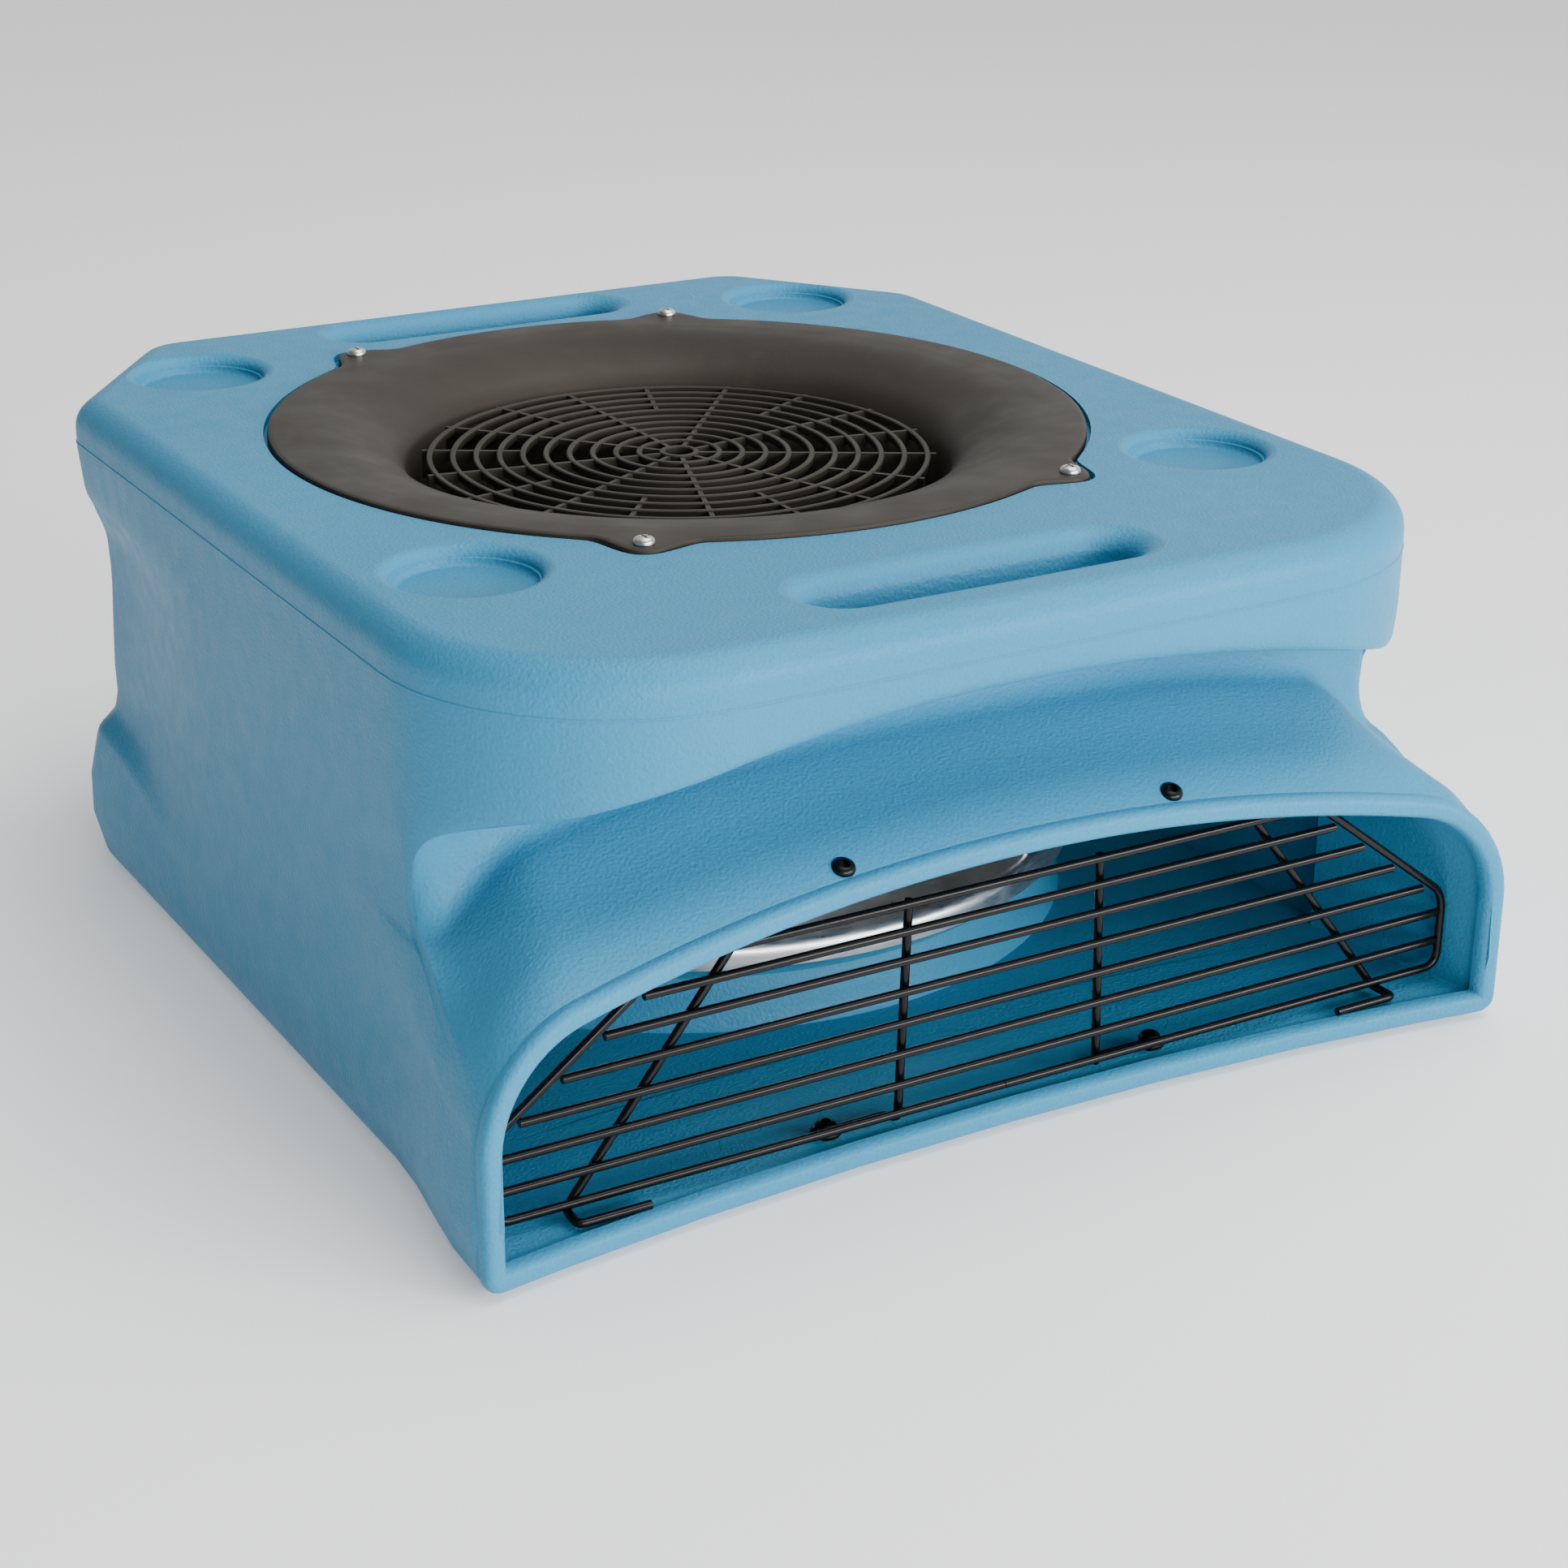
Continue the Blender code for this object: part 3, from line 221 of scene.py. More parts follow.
def stands_for(obj, node, mat):
    """A fine piece takes the place, the body and the material slot of a CAD node."""
    obj.name = f"fine_{node}"
    obj.data.materials.clear()
    obj.data.materials.append(mat)
    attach(obj, RIDES[node])
    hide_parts(node)
    return obj


# Shape helpers -----------------------------------------------------------------------------------------
def loft(loops, close=False):
    """Faces over equal loops of points; open lofts get a face at each end, closed ones join up."""
    count = len(loops[0])
    verts = [p for loop in loops for p in loop]
    faces = []
    rows = len(loops) if close else len(loops) - 1
    for row in range(rows):
        low = row * count
        high = (row + 1) % len(loops) * count
        for i in range(count):
            j = (i + 1) % count
            faces.append((low + i, low + j, high + j, high + i))
    if not close:
        faces.append(tuple(range(count)))
        faces.append(tuple(range(len(verts) - count, len(verts))))
    return verts, faces


def circle(radius, z, count, centre=(0.0, 0.0), start=0.0):
    step = 2 * pi / count
    return [(centre[0] + radius * cos(start + i * step), centre[1] + radius * sin(start + i * step), z)
            for i in range(count)]


def turned(name, profile, count, centre=(0.0, 0.0), hollow=True, start=0.0):
    """A turned part from (radius, height) pairs: a ring when hollow, else a solid of revolution."""
    loops = [circle(r, z, count, centre, start) for r, z in profile]
    return mesh_object(name, *loft(loops, close=hollow))


def box(name, low, high):
    corners = [(low[0], low[1]), (high[0], low[1]), (high[0], high[1]), (low[0], high[1])]
    return mesh_object(name, *loft([[(x, y, z) for x, y in corners] for z in (low[2], high[2])]))


def arc(cx, cy, radius, start, end, count):
    step = (end - start) / (count - 1)
    return [(cx + radius * cos(start + i * step), cy + radius * sin(start + i * step))
            for i in range(count)]


def smooth(t):
    t = min(max(t, 0.0), 1.0)
    return t * t * (3 - 2 * t)


def mix(a, b, t):
    return a + (b - a) * t


def between(p, q, t):
    return (mix(p[0], q[0], t), mix(p[1], q[1], t))


def refined(points, parts):
    """A column of points with extra ones on a smooth curve through them all."""
    pts = [Vector(p) for p in points]
    result = [pts[0]]
    for i in range(len(pts) - 1):
        p1, p2 = pts[i], pts[i + 1]
        p0 = pts[i - 1] if i else p1 + (p1 - p2)
        p3 = pts[i + 2] if i + 2 < len(pts) else p2 + (p2 - p1)
        span = max((p2 - p1).length, 1e-6)
        m1 = tangent(p0, p1, p2) * span
        m2 = tangent(p1, p2, p3) * span
        for k in range(1, parts + 1):
            t = k / parts
            result.append(p1 * (2 * t ** 3 - 3 * t ** 2 + 1) + m1 * (t ** 3 - 2 * t ** 2 + t)
                          + p2 * (3 * t ** 2 - 2 * t ** 3) + m2 * (t ** 3 - t ** 2))
    return [tuple(p) for p in result]


def tangent(before, point, after):
    """Direction of a smooth curve at a point, leaning to its nearer neighbour."""
    a = (point - before).length or 1e-6
    b = (after - point).length or 1e-6
    return ((point - before) / a * b + (after - point) / b * a) / (a + b)


# Housing: its outlines in plan ------------------------------------------------------------------------
def lip_y(x):
    """Plan curve of the mouth's lip, set back in its middle."""
    return -LIP_SET_BACK - LIP_BOW * (abs(x) / 240.0) ** 2.2


def waist_y(x):
    """Plan curve of the valley's back wall under the slab."""
    return -214.0 - 9.0 * (abs(x) / 205.0) ** 2


def waist_x(y):
    """Half width of the waist: tucked in at the rear, flush with the slab towards the mouth."""
    return mix(WAIST_HALF, WAIST_FRONT, smooth((150.0 - y) / 140.0))


def flank_x(y, plinth, mouth):
    """Half width of the plinth, flaring towards the mouth."""
    return mix(plinth, mouth, smooth((-y - 195.0) / 95.0))


def half_outline(half, rear, reach, front, corner, counts, flare=None):
    """Right half of a plan outline: front middle, front corner, side, chamfered rear corner, rear middle."""
    n_front, n_corner, n_side, n_round, n_rear = counts
    wide = flare(-400.0) if flare else half
    inner = wide - corner
    points = [(inner * sin(pi / 2 * i / n_front), front(inner * sin(pi / 2 * i / n_front)))
              for i in range(n_front)]
    corner_y = front(inner) + corner
    points += arc(inner, corner_y, corner, -pi / 2, 0.0, n_corner)
    first = (half, (reach - half * cos(CHAMFER)) / sin(CHAMFER))
    second = ((reach - rear * sin(CHAMFER)) / cos(CHAMFER), rear)
    slope = (cos(CHAMFER), sin(CHAMFER))
    pull_1 = CHAMFER_ROUND / (1 + slope[0])
    pull_2 = CHAMFER_ROUND / (1 + slope[1])
    centre_1 = (first[0] - pull_1 * (1 + slope[0]), first[1] - pull_1 * slope[1])
    centre_2 = (second[0] - pull_2 * slope[0], second[1] - pull_2 * (1 + slope[1]))
    for i in range(1, n_side):
        y = mix(corner_y, centre_1[1], i / n_side)
        points.append((flare(y) if flare else half, y))
    points += arc(*centre_1, CHAMFER_ROUND, 0.0, CHAMFER, n_round)
    points += arc(*centre_2, CHAMFER_ROUND, CHAMFER, pi / 2, n_round)
    points += [(centre_2[0] * (1 - i / n_rear), rear) for i in range(1, n_rear + 1)]
    return points


def slab_outline(inset, counts):
    return half_outline(SLAB_HALF - inset, REAR - 2 - inset, CHAMFER_REACH - inset,
                        lambda x: inset - SLAB_FRONT, SLAB_CORNER - inset, counts)


def waist_outline(inset, counts, corner):
    tuck = SLAB_HALF - WAIST_HALF + inset
    return half_outline(WAIST_HALF - inset, REAR - 2 - tuck, CHAMFER_REACH - tuck,
                        lambda x: waist_y(x) + inset, corner, counts, flare=lambda y: waist_x(y) - inset)


def base_outline(inset, counts, front, mouth, corner):
    return half_outline(PLINTH_HALF - inset, REAR - inset, CHAMFER_REACH + 2 - inset, front, corner, counts,
                        flare=lambda y: flank_x(y, PLINTH_HALF - inset, mouth))


def full_loop(half):
    """Both halves of a loop of (x, y, z) points that starts and ends on the middle plane."""
    return half + [(-x, y, z) for x, y, z in reversed(half[1:-1])]


# Housing: its heights and openings --------------------------------------------------------------------
def crown(x):
    return CROWN_TOP - CROWN_RADIUS + sqrt(CROWN_RADIUS ** 2 - x * x)


def arch(x):
    """Height of the mouth's arch: a long crown with rounded upper corners."""
    x = abs(x)
    big, small = CROWN_RADIUS, CROWN_CORNER
    centre_x = MOUTH_HALF - small
    base_z = CROWN_TOP - big
    centre_z = base_z + sqrt((big - small) ** 2 - centre_x ** 2)
    if x <= centre_x * big / (big - small):
        return base_z + sqrt(big ** 2 - x * x)
    return centre_z + sqrt(max(small ** 2 - (x - centre_x) ** 2, 0.0))


def edge_heights(outline, counts):
    """Height of the slab's lower edge along its outline: an arch in front, a slow rise along the sides."""
    heights = []
    run = 0.0
    n_corner_end = counts[0] + counts[1] - 1
    for i, point in enumerate(outline):
        if i:
            run += hypot(point[0] - outline[i - 1][0], point[1] - outline[i - 1][1])
        if i <= n_corner_end:
            heights.append(max(198.5 - 43.0 * (run / 246.0) ** 2.2, 152.0))
        else:
            heights.append(mix(152.0, 177.0, smooth((i - n_corner_end) / counts[2])))
    return heights


def column_blend(counts):
    """For each column of the half loop: how much of the mouth's roof and of the slab's overhang it has,
    and its run along the side.
    """
    n_corner_end = counts[0] + counts[1] - 1
    total = counts[0] + counts[1] + counts[2] - 1 + 2 * counts[3] + counts[4]
    result = []
    for i in range(total):
        along = min(max((i - n_corner_end) / counts[2], 0.0), 1.0)
        turned_in = (i - counts[0]) / (counts[1] - 1)
        result.append((1.0 - smooth(along / 0.25), 1.0 - smooth((turned_in - 0.3) / 0.6), along))
    return result


def step_heights(along):
    """Lower and upper end of the plinth's step: high and sharp at the mouth and the rear, soft between."""
    low = mix(mix(84.0, 30.0, smooth(along / 0.45)), 64.0, smooth((along - 0.7) / 0.3))
    high = mix(117.0, 80.0, smooth(along / 0.45))
    return low, high


def quarter(count):
    return [pi / 2 * i / count for i in range(count + 1)]


def add_rows(column, p, q, front_rows, side_rows, blend, lift=0.0):
    """Points between p and q whose places and heights change from the side's rows to the front's."""
    for (t_front, z_front), (t_side, z_side) in zip(front_rows, side_rows):
        column.append((*between(p, q, mix(t_side, t_front, blend)), lift + mix(z_side, z_front, blend)))


def housing_skin(counts):
    """Loops of the housing's outer skin, from its base to the flat top of its slab."""
    lip_front = [lambda x, d=d: lip_y(x) + 3.0 + d for d in (6.0, 1.8, 0.0)]
    bases = [base_outline(d, counts, front, MOUTH_HALF - 1.5 - d, max(9.0 - d, 2.0))
             for d, front in zip((6.0, 1.8, 0.0), lip_front)]
    base = bases[2]
    waist = waist_outline(0.0, counts, WAIST_CORNER)
    slab = slab_outline(0.0, counts)
    edges = edge_heights(slab, counts)
    blends = column_blend(counts)
    columns = []
    for i, (front, over, along) in enumerate(blends):
        b, w, s, edge = base[i], waist[i], slab[i], edges[i]
        low, high = step_heights(along)
        depth = hypot(w[0] - b[0], w[1] - b[1])
        top = min(arch(min(b[0], MOUTH_HALF - 1.5)), crown(b[0])) - 1.2
        foot = crown(w[0]) + NOZZLE_SLOPE * (w[1] - 16.0 - lip_y(w[0])) - 24.0 * smooth((w[0] - 190.0) / 47.0)
        foot = min(foot, edge - 43.0)
        column = [(*bases[0][i], 0.0), (*bases[1][i], 1.8), (*b, 6.0)]
        front_rows = [(0.0, top - 8.0), (1.0 / depth, top - 2.0), (4.0 / depth, top + 1.8),
                      (0.5, mix(top + 1.8, foot, (0.5 * depth - 4) / (depth - 20))),
                      (1 - 16.0 / depth, foot), (1 - 5.0 / depth, foot + 4.5), (1.0, foot + 16.0)]
        rise = edge - 24.0 - high
        side_rows = [(0.0, low), (0.10, mix(low, high, 0.25)), (0.38, mix(low, high, 0.5)),
                     (0.66, mix(low, high, 0.75)), (0.79, high), (0.86, high + 0.3 * rise),
                     (0.93, high + 0.6 * rise)]
        add_rows(column, b, w, front_rows, side_rows, front)
        span = max(hypot(w[0] - s[0], w[1] - s[1]), 1.0)
        tuck = min(18.0, 0.42 * span)
        nose = min(12.0, 0.55 * span)
        front_rows = [(1.0, -18.0), (1 - 0.13 * tuck / span, -9.0), (1 - 0.5 * tuck / span, -2.4),
                      (1 - tuck / span, 0.0), (nose / span, 0.0), (0.5 * nose / span, 1.6),
                      (0.13 * nose / span, 6.0), (0.0, 12.0)]
        side_rows = [(1.0, -24.0), (0.97, -16.0), (0.92, -9.0), (0.74, -2.0),
                     (0.60, 2.0), (0.45, 7.0), (0.25, 12.0), (0.10, 24.0)]
        add_rows(column, s, w, front_rows, side_rows, over, edge)
        column.append((*s, PARTING - 2.0))
        columns.append(refined(column, 3))
    loops = [[column[row] for column in columns] for row in range(len(columns[0]))]
    for proud, rise in ((0.0, 0.0), (0.35, 0.45), (0.35, 0.95), (0.0, 1.4)):
        loops.append([(*p, PARTING + rise) for p in slab_outline(-proud, counts)])
    for angle in quarter(9):
        inset = SLAB_FILLET * (1 - cos(angle))
        z = HEIGHT - SLAB_FILLET * (1 - sin(angle))
        loops.append([(*p, z) for p in slab_outline(inset, counts)])
    return [full_loop(loop) for loop in loops]


def housing_hollow(counts):
    """Loops of the hollow behind the mouth, a wall's thickness inside the skin."""
    base = base_outline(WALL, counts, lambda x: waist_y(x) + WALL, PLINTH_HALF - WALL, 30.0 - WALL)
    waist = waist_outline(WALL, counts, 30.0 - WALL)
    slab = slab_outline(WALL, counts)
    edges = edge_heights(slab, counts)
    columns = []
    for i, (front, over, along) in enumerate(column_blend(counts)):
        b, w, s, edge = base[i], waist[i], slab[i], edges[i]
        low, high = step_heights(along)
        column = [(*b, FLOOR)]
        front_rows = [(0.0, 60.0), (0.4, 76.0), (0.8, 94.0), (0.9, 112.0)]
        middle = mix(low, high, 0.5)
        side_rows = [(0.0, low - 4.0), (0.4, middle - 3.0), (0.8, high - 2.0), (0.9, high + 10.0)]
        add_rows(column, b, w, front_rows, side_rows, front)
        front_rows = [(0.0, -6.0), (0.25, 8.0), (1.0, 16.0)]
        side_rows = [(0.0, -24.0), (0.3, 0.0), (1.0, 26.0)]
        add_rows(column, w, s, front_rows, side_rows, over, edge)
        column.append((*s, HEIGHT - WALL))
        columns.append(column)
    loops = [[column[row] for column in columns] for row in range(len(columns[0]))]
    return [full_loop(loop) for loop in loops]


def duct_tool():
    """The outlet duct: the mouth's outline carried back into the hollow under the rising roof."""
    loops = []
    for depth in (-30.0, 6.0, 25.0, 45.0, 70.0, 100.0):
        run = max(depth - 6.0, 0.0)
        loop = []
        for x, z in lip_contour(MOUTH_CUT, 40, 14):
            rise = NOZZLE_SLOPE * run * (1.0 - smooth((abs(x) - 150.0) / 60.0))
            x_in = x * (1.0 - 0.07 * run / 94.0)
            loop.append((x_in, lip_y(x_in) + depth, z + rise * smooth(z / 90.0)))
        loops.append(loop)
    return mesh_object("tool_duct", *loft(loops))


def lip_contour(inset, count_crown=48, count_corner=16):
    """Closed outline of the mouth in its own plane, from the floor's middle around the arch."""
    half = MOUTH_HALF - inset
    small = CROWN_CORNER - inset
    big = CROWN_RADIUS - inset
    centre_x = MOUTH_HALF - CROWN_CORNER
    base_z = CROWN_TOP - CROWN_RADIUS
    centre_z = base_z + sqrt((big - small) ** 2 - centre_x ** 2)
    round_low = max(8.0 - inset, 0.6)
    tilt = asin(centre_x / (big - small))
    right = [(half * t, inset) for t in (0.0, 0.3, 0.6, 0.85)]
    right += arc(half - round_low, inset + round_low, round_low, -pi / 2, 0.0, 6)
    right += [(half, mix(inset + round_low, centre_z, 0.5))]
    right += arc(centre_x, centre_z, small, 0.0, pi / 2 - tilt, count_corner)
    span = range(1, count_crown)
    top = [(big * sin(tilt * (1 - 2 * i / count_crown)), base_z + big * cos(tilt * (1 - 2 * i / count_crown)))
           for i in span]
    return right + top + [(-x, z) for x, z in reversed(right[1:])]


def lip_bead():
    """The rounded bead around the mouth, as a closed ring swept along the lip's plan curve."""
    section = [(0.0, LIP_DEEP), (0.0, 4.6)]
    section += [(4.4 - 4.4 * cos(a), 4.6 - 4.6 * sin(a)) for a in (pi / 2 * k / 5 for k in range(1, 6))]
    section += [(7.0 + 3.0 * sin(a), 5.0 - 4.8 * cos(a)) for a in (pi / 2 * k / 5 for k in range(0, 6))]
    section += [(LIP_THICK, LIP_DEEP)]
    loops = [[(x, lip_y(x) + back, z) for x, z in lip_contour(inset)] for inset, back in section]
    return mesh_object("tool_lip_bead", *loft(loops, close=True))


def ring_reach(angle, base, reach, width):
    """Outer radius of the bellmouth ring in one direction, with an ear at each lug."""
    radius = base
    for lug in LUG_ANGLES:
        off = abs((angle - lug + pi) % (2 * pi) - pi)
        if off < width:
            radius = base + reach * cos(pi / 2 * off / width) ** 2
    return radius


def ring_directions():
    """Directions around the ring, closer together at its lugs."""
    angles = []
    for i in range(RING_STEPS):
        angle = -pi + 2 * pi * i / RING_STEPS
        if all(abs((angle - lug + pi) % (2 * pi) - pi) > LUG_WIDTH * 1.25 for lug in LUG_ANGLES):
            angles.append(angle)
    for lug in LUG_ANGLES:
        angles += [lug + LUG_WIDTH * (2 * i / (LUG_STEPS - 1) - 1) for i in range(LUG_STEPS)]
    return sorted((a + pi) % (2 * pi) - pi for a in angles)


def ring_loop(base, reach, z, grow=0.0):
    width = LUG_WIDTH * (1 + grow)
    points = []
    for angle in ring_directions():
        radius = ring_reach(angle, base, reach, width)
        points.append((radius * cos(angle), radius * sin(angle), z))
    return points


def motor_screw_places():
    return [(70 * cos(pi / 4 + i * pi / 2), 70 * sin(pi / 4 + i * pi / 2)) for i in range(4)]


def panel_corners():
    wide, tall = PANEL_HALF
    return [(x * (wide - 6), PANEL_Z + z * (tall - 6)) for x in (-1, 1) for z in (-1, 1)]


def shroud_height(radius):
    """Underside of the impeller's front ring at one radius."""
    t = min(max((WHEEL_RADIUS - radius) / 62.0, 0.0), 1.0)
    return 112.0 + 26.0 * t ** 1.5


def rib_bar(name, angle, inner, outer, low, high, thick):
    """One radial rib standing on edge."""
    along = (cos(angle), sin(angle))
    side = (-along[1] * thick / 2, along[0] * thick / 2)
    corners = [(reach * along[0] + sign * side[0], reach * along[1] + sign * side[1])
               for reach, sign in ((inner, -1), (outer, -1), (outer, 1), (inner, 1))]
    return mesh_object(name, *loft([[(x, y, z) for x, y in corners] for z in (low, high)]))


def bend(points, radius, steps=4):
    """A route of straight runs with its inner corners rounded."""
    route = [Vector(points[0])]
    for i in range(1, len(points) - 1):
        before, corner, after = (Vector(p) for p in points[i - 1:i + 2])
        first = corner + (before - corner).normalized() * radius
        last = corner + (after - corner).normalized() * radius
        for k in range(steps + 1):
            t = k / steps
            route.append(first.lerp(corner, t).lerp(corner.lerp(last, t), t))
    route.append(Vector(points[-1]))
    return route


# Materials ---------------------------------------------------------------------------------------------
class Finish:
    """A node material built up in layers from noise in the object's own space."""

    def __init__(self, name, roughness, metallic=0.0):
        self.mat = bpy.data.materials.new(name)
        self.mat.use_nodes = True
        self.nodes = self.mat.node_tree.nodes
        self.links = self.mat.node_tree.links
        self.shader = self.nodes["Principled BSDF"]
        self.level("Roughness", roughness)
        self.level("Metallic", metallic)
        self.coords = self.nodes.new("ShaderNodeTexCoord").outputs["Object"]
        self.height = None

    def level(self, name, value):
        self.shader.inputs[name].default_value = value

    def noise(self, scale, detail=3.0, stretch=(1.0, 1.0, 1.0), rough=0.5):
        mapping = self.nodes.new("ShaderNodeMapping")
        mapping.inputs["Scale"].default_value = stretch
        self.links.new(self.coords, mapping.inputs["Vector"])
        node = self.nodes.new("ShaderNodeTexNoise")
        node.inputs["Scale"].default_value = scale
        node.inputs["Detail"].default_value = detail
        node.inputs["Roughness"].default_value = rough
        self.links.new(mapping.outputs["Vector"], node.inputs["Vector"])
        return node.outputs["Fac"]

    def ramp(self, value, stops):
        node = self.nodes.new("ShaderNodeValToRGB")
        band = node.color_ramp
        while len(band.elements) < len(stops):
            band.elements.new(0.5)
        for element, (place, colour) in zip(band.elements, stops):
            element.position = place
            element.color = (*colour, 1.0) if len(colour) == 3 else colour
        self.links.new(value, node.inputs["Fac"])
        return node.outputs["Color"]

    def spread(self, value, low, high, to_low, to_high):
        node = self.nodes.new("ShaderNodeMapRange")
        for name, number in (("From Min", low), ("From Max", high), ("To Min", to_low), ("To Max", to_high)):
            node.inputs[name].default_value = number
        self.links.new(value, node.inputs["Value"])
        return node.outputs["Result"]

    def blend(self, factor, under, over):
        node = self.nodes.new("ShaderNodeMix")
        node.data_type = "RGBA"
        self.links.new(factor, node.inputs["Factor"])
        for socket, colour in ((node.inputs[6], under), (node.inputs[7], over)):
            if isinstance(colour, tuple):
                socket.default_value = (*colour, 1.0)
            else:
                self.links.new(colour, socket)
        return node.outputs[2]

    def colour(self, source):
        self.links.new(source, self.shader.inputs["Base Color"])

    def uneven(self, scale, detail, smoothest, roughest, stretch=(1.0, 1.0, 1.0)):
        """Roughness that wanders between two values."""
        source = self.spread(self.noise(scale, detail, stretch), 0.3, 0.7, smoothest, roughest)
        self.links.new(source, self.shader.inputs["Roughness"])

    def bump(self, source, strength, distance):
        node = self.nodes.new("ShaderNodeBump")
        node.inputs["Strength"].default_value = strength
        node.inputs["Distance"].default_value = distance
        self.links.new(source, node.inputs["Height"])
        if self.height:
            self.links.new(self.height, node.inputs["Normal"])
        self.height = node.outputs["Normal"]
        self.links.new(self.height, self.shader.inputs["Normal"])


def height_of(finish):
    """Height above the floor in metres."""
    node = finish.nodes.new("ShaderNodeSeparateXYZ")
    finish.links.new(finish.coords, node.inputs["Vector"])
    return node.outputs["Z"]


def blue_moulding():
    """Rotomoulded polyethylene: a fine pebble all over, with faint rubs low on the walls."""
    f = Finish("blue_moulding", 0.42)
    cloud = f.ramp(f.noise(5.0, 2.0), ((0.3, BLUE_DARK), (0.7, BLUE_LIGHT)))
    grain = f.spread(f.noise(650.0, 2.0), 0.40, 0.68, 0.0, 0.22)
    speckled = f.blend(grain, cloud, BLUE_PALE)
    rubs = f.spread(f.noise(60.0, 6.0, rough=0.7), 0.62, 0.74, 0.0, 0.20)
    low = f.spread(height_of(f), 0.0, 0.05, 1.0, 0.0)
    amount = f.nodes.new("ShaderNodeMath")
    amount.operation = "MULTIPLY"
    f.links.new(rubs, amount.inputs[0])
    f.links.new(low, amount.inputs[1])
    f.colour(f.blend(amount.outputs[0], speckled, BLUE_RUBBED))
    f.uneven(90.0, 4.0, 0.36, 0.46)
    f.bump(f.noise(650.0, 2.0, rough=0.4), 0.75, 0.0005)
    f.bump(f.noise(18.0, 1.0), 0.12, 0.0012)
    f.level("Specular IOR Level", 0.14)
    return f.mat


def black_moulding():
    """Injection-moulded black plastic with a fine spark-eroded grain and a little dust."""
    f = Finish("black_moulding", 0.46)
    tone = f.ramp(f.noise(12.0, 5.0), ((0.3, (0.024, 0.021, 0.017)), (0.75, (0.034, 0.030, 0.024))))
    dust = f.spread(f.noise(90.0, 6.0, rough=0.65), 0.56, 0.78, 0.0, 0.12)
    f.colour(f.blend(dust, tone, (0.08, 0.073, 0.062)))
    f.uneven(45.0, 4.0, 0.40, 0.52)
    f.bump(f.noise(1300.0, 2.0), 0.35, 0.00015)
    f.level("Specular IOR Level", 0.16)
    f.level("Specular Tint", (1.0, 0.95, 0.87, 1.0))
    return f.mat


def bare_metal(name, dark, light, roughness, stretch, scale=55.0):
    """Bare sheet or turned metal with rolling marks, stains and small pits."""
    f = Finish(name, roughness, 1.0)
    tone = f.ramp(f.noise(scale, 5.0, stretch, 0.6), ((0.3, dark), (0.7, light)))
    stain = f.spread(f.noise(16.0, 4.0), 0.55, 0.75, 0.0, 0.35)
    f.colour(f.blend(stain, tone, dark))
    f.uneven(scale * 2.2, 4.0, roughness - 0.07, roughness + 0.10, stretch)
    f.bump(f.noise(scale * 9.0, 3.0, stretch), 0.25, 0.0001)
    return f.mat


def coated(name, colour, roughness, coat=0.0, orange_peel=700.0):
    """Paint or powder coat over metal: orange peel, slight unevenness."""
    f = Finish(name, roughness)
    lighter = tuple(min(c * 1.6 + 0.004, 1.0) for c in colour)
    f.colour(f.ramp(f.noise(40.0, 4.0), ((0.35, colour), (0.75, lighter))))
    f.uneven(120.0, 3.0, roughness - 0.05, roughness + 0.08)
    f.bump(f.noise(orange_peel, 2.0), 0.2, 0.0001)
    f.level("Specular IOR Level", 0.3)
    f.level("Coat Weight", coat)
    f.level("Coat Roughness", 0.15)
    return f.mat


def dipped_wire():
    """Black dip coating: glossy, nearly black, with faint runs."""
    f = Finish("wire_coating", 0.30)
    f.colour(f.ramp(f.noise(70.0, 3.0), ((0.35, (0.0022, 0.0022, 0.0022)), (0.75, (0.0042, 0.0040, 0.0038)))))
    f.uneven(180.0, 3.0, 0.20, 0.30)
    f.bump(f.noise(60.0, 2.0), 0.05, 0.0001)
    f.level("Specular IOR Level", 0.22)
    return f.mat


def rubber_pad():
    f = Finish("rubber_pad", 0.8)
    f.colour(f.ramp(f.noise(150.0, 5.0), ((0.35, (0.016, 0.016, 0.016)), (0.7, (0.040, 0.038, 0.036)))))
    f.bump(f.noise(900.0, 3.0), 0.4, 0.0002)
    f.uneven(200.0, 3.0, 0.72, 0.9)
    return f.mat


def pale_floor():
    f = Finish("pale_floor", 0.75)
    f.colour(f.ramp(f.noise(1.5, 2.0), ((0.3, (0.93, 0.93, 0.93)), (0.7, (0.95, 0.95, 0.95)))))
    f.level("Emission Color", (1.0, 1.0, 1.0, 1.0))
    f.level("Emission Strength", 0.25)
    return f.mat


BLUE_DARK = (0.031, 0.213, 0.372)
BLUE_LIGHT = (0.036, 0.230, 0.398)
BLUE_PALE = (0.062, 0.285, 0.460)
BLUE_RUBBED = (0.110, 0.325, 0.475)


# Fine pieces: housing ----------------------------------------------------------------------------------
def cup_tool(name, centre):
    """Round stacking cup with rolled rim and filleted floor."""
    floor = HEIGHT - CUP_DEPTH
    wall = CUP_RADIUS - 4.4
    section = [(wall - 3.4, floor)]
    section += [(wall - 3.4 + 3.0 * sin(a), floor + 3.0 - 3.0 * cos(a)) for a in turn_angles(6)]
    section += [(wall + 6.5 - 6.0 * cos(a), HEIGHT - 4.6 + 4.6 * sin(a)) for a in turn_angles(9, radians(84))]
    section += [(CUP_RADIUS + 4.4, HEIGHT + 0.3), (CUP_RADIUS + 4.4, HEIGHT + 6.0)]
    return turned(name, section, 72, centre=centre, hollow=False)


def turn_angles(count, end=pi / 2):
    return [end * i / count for i in range(count + 1)]


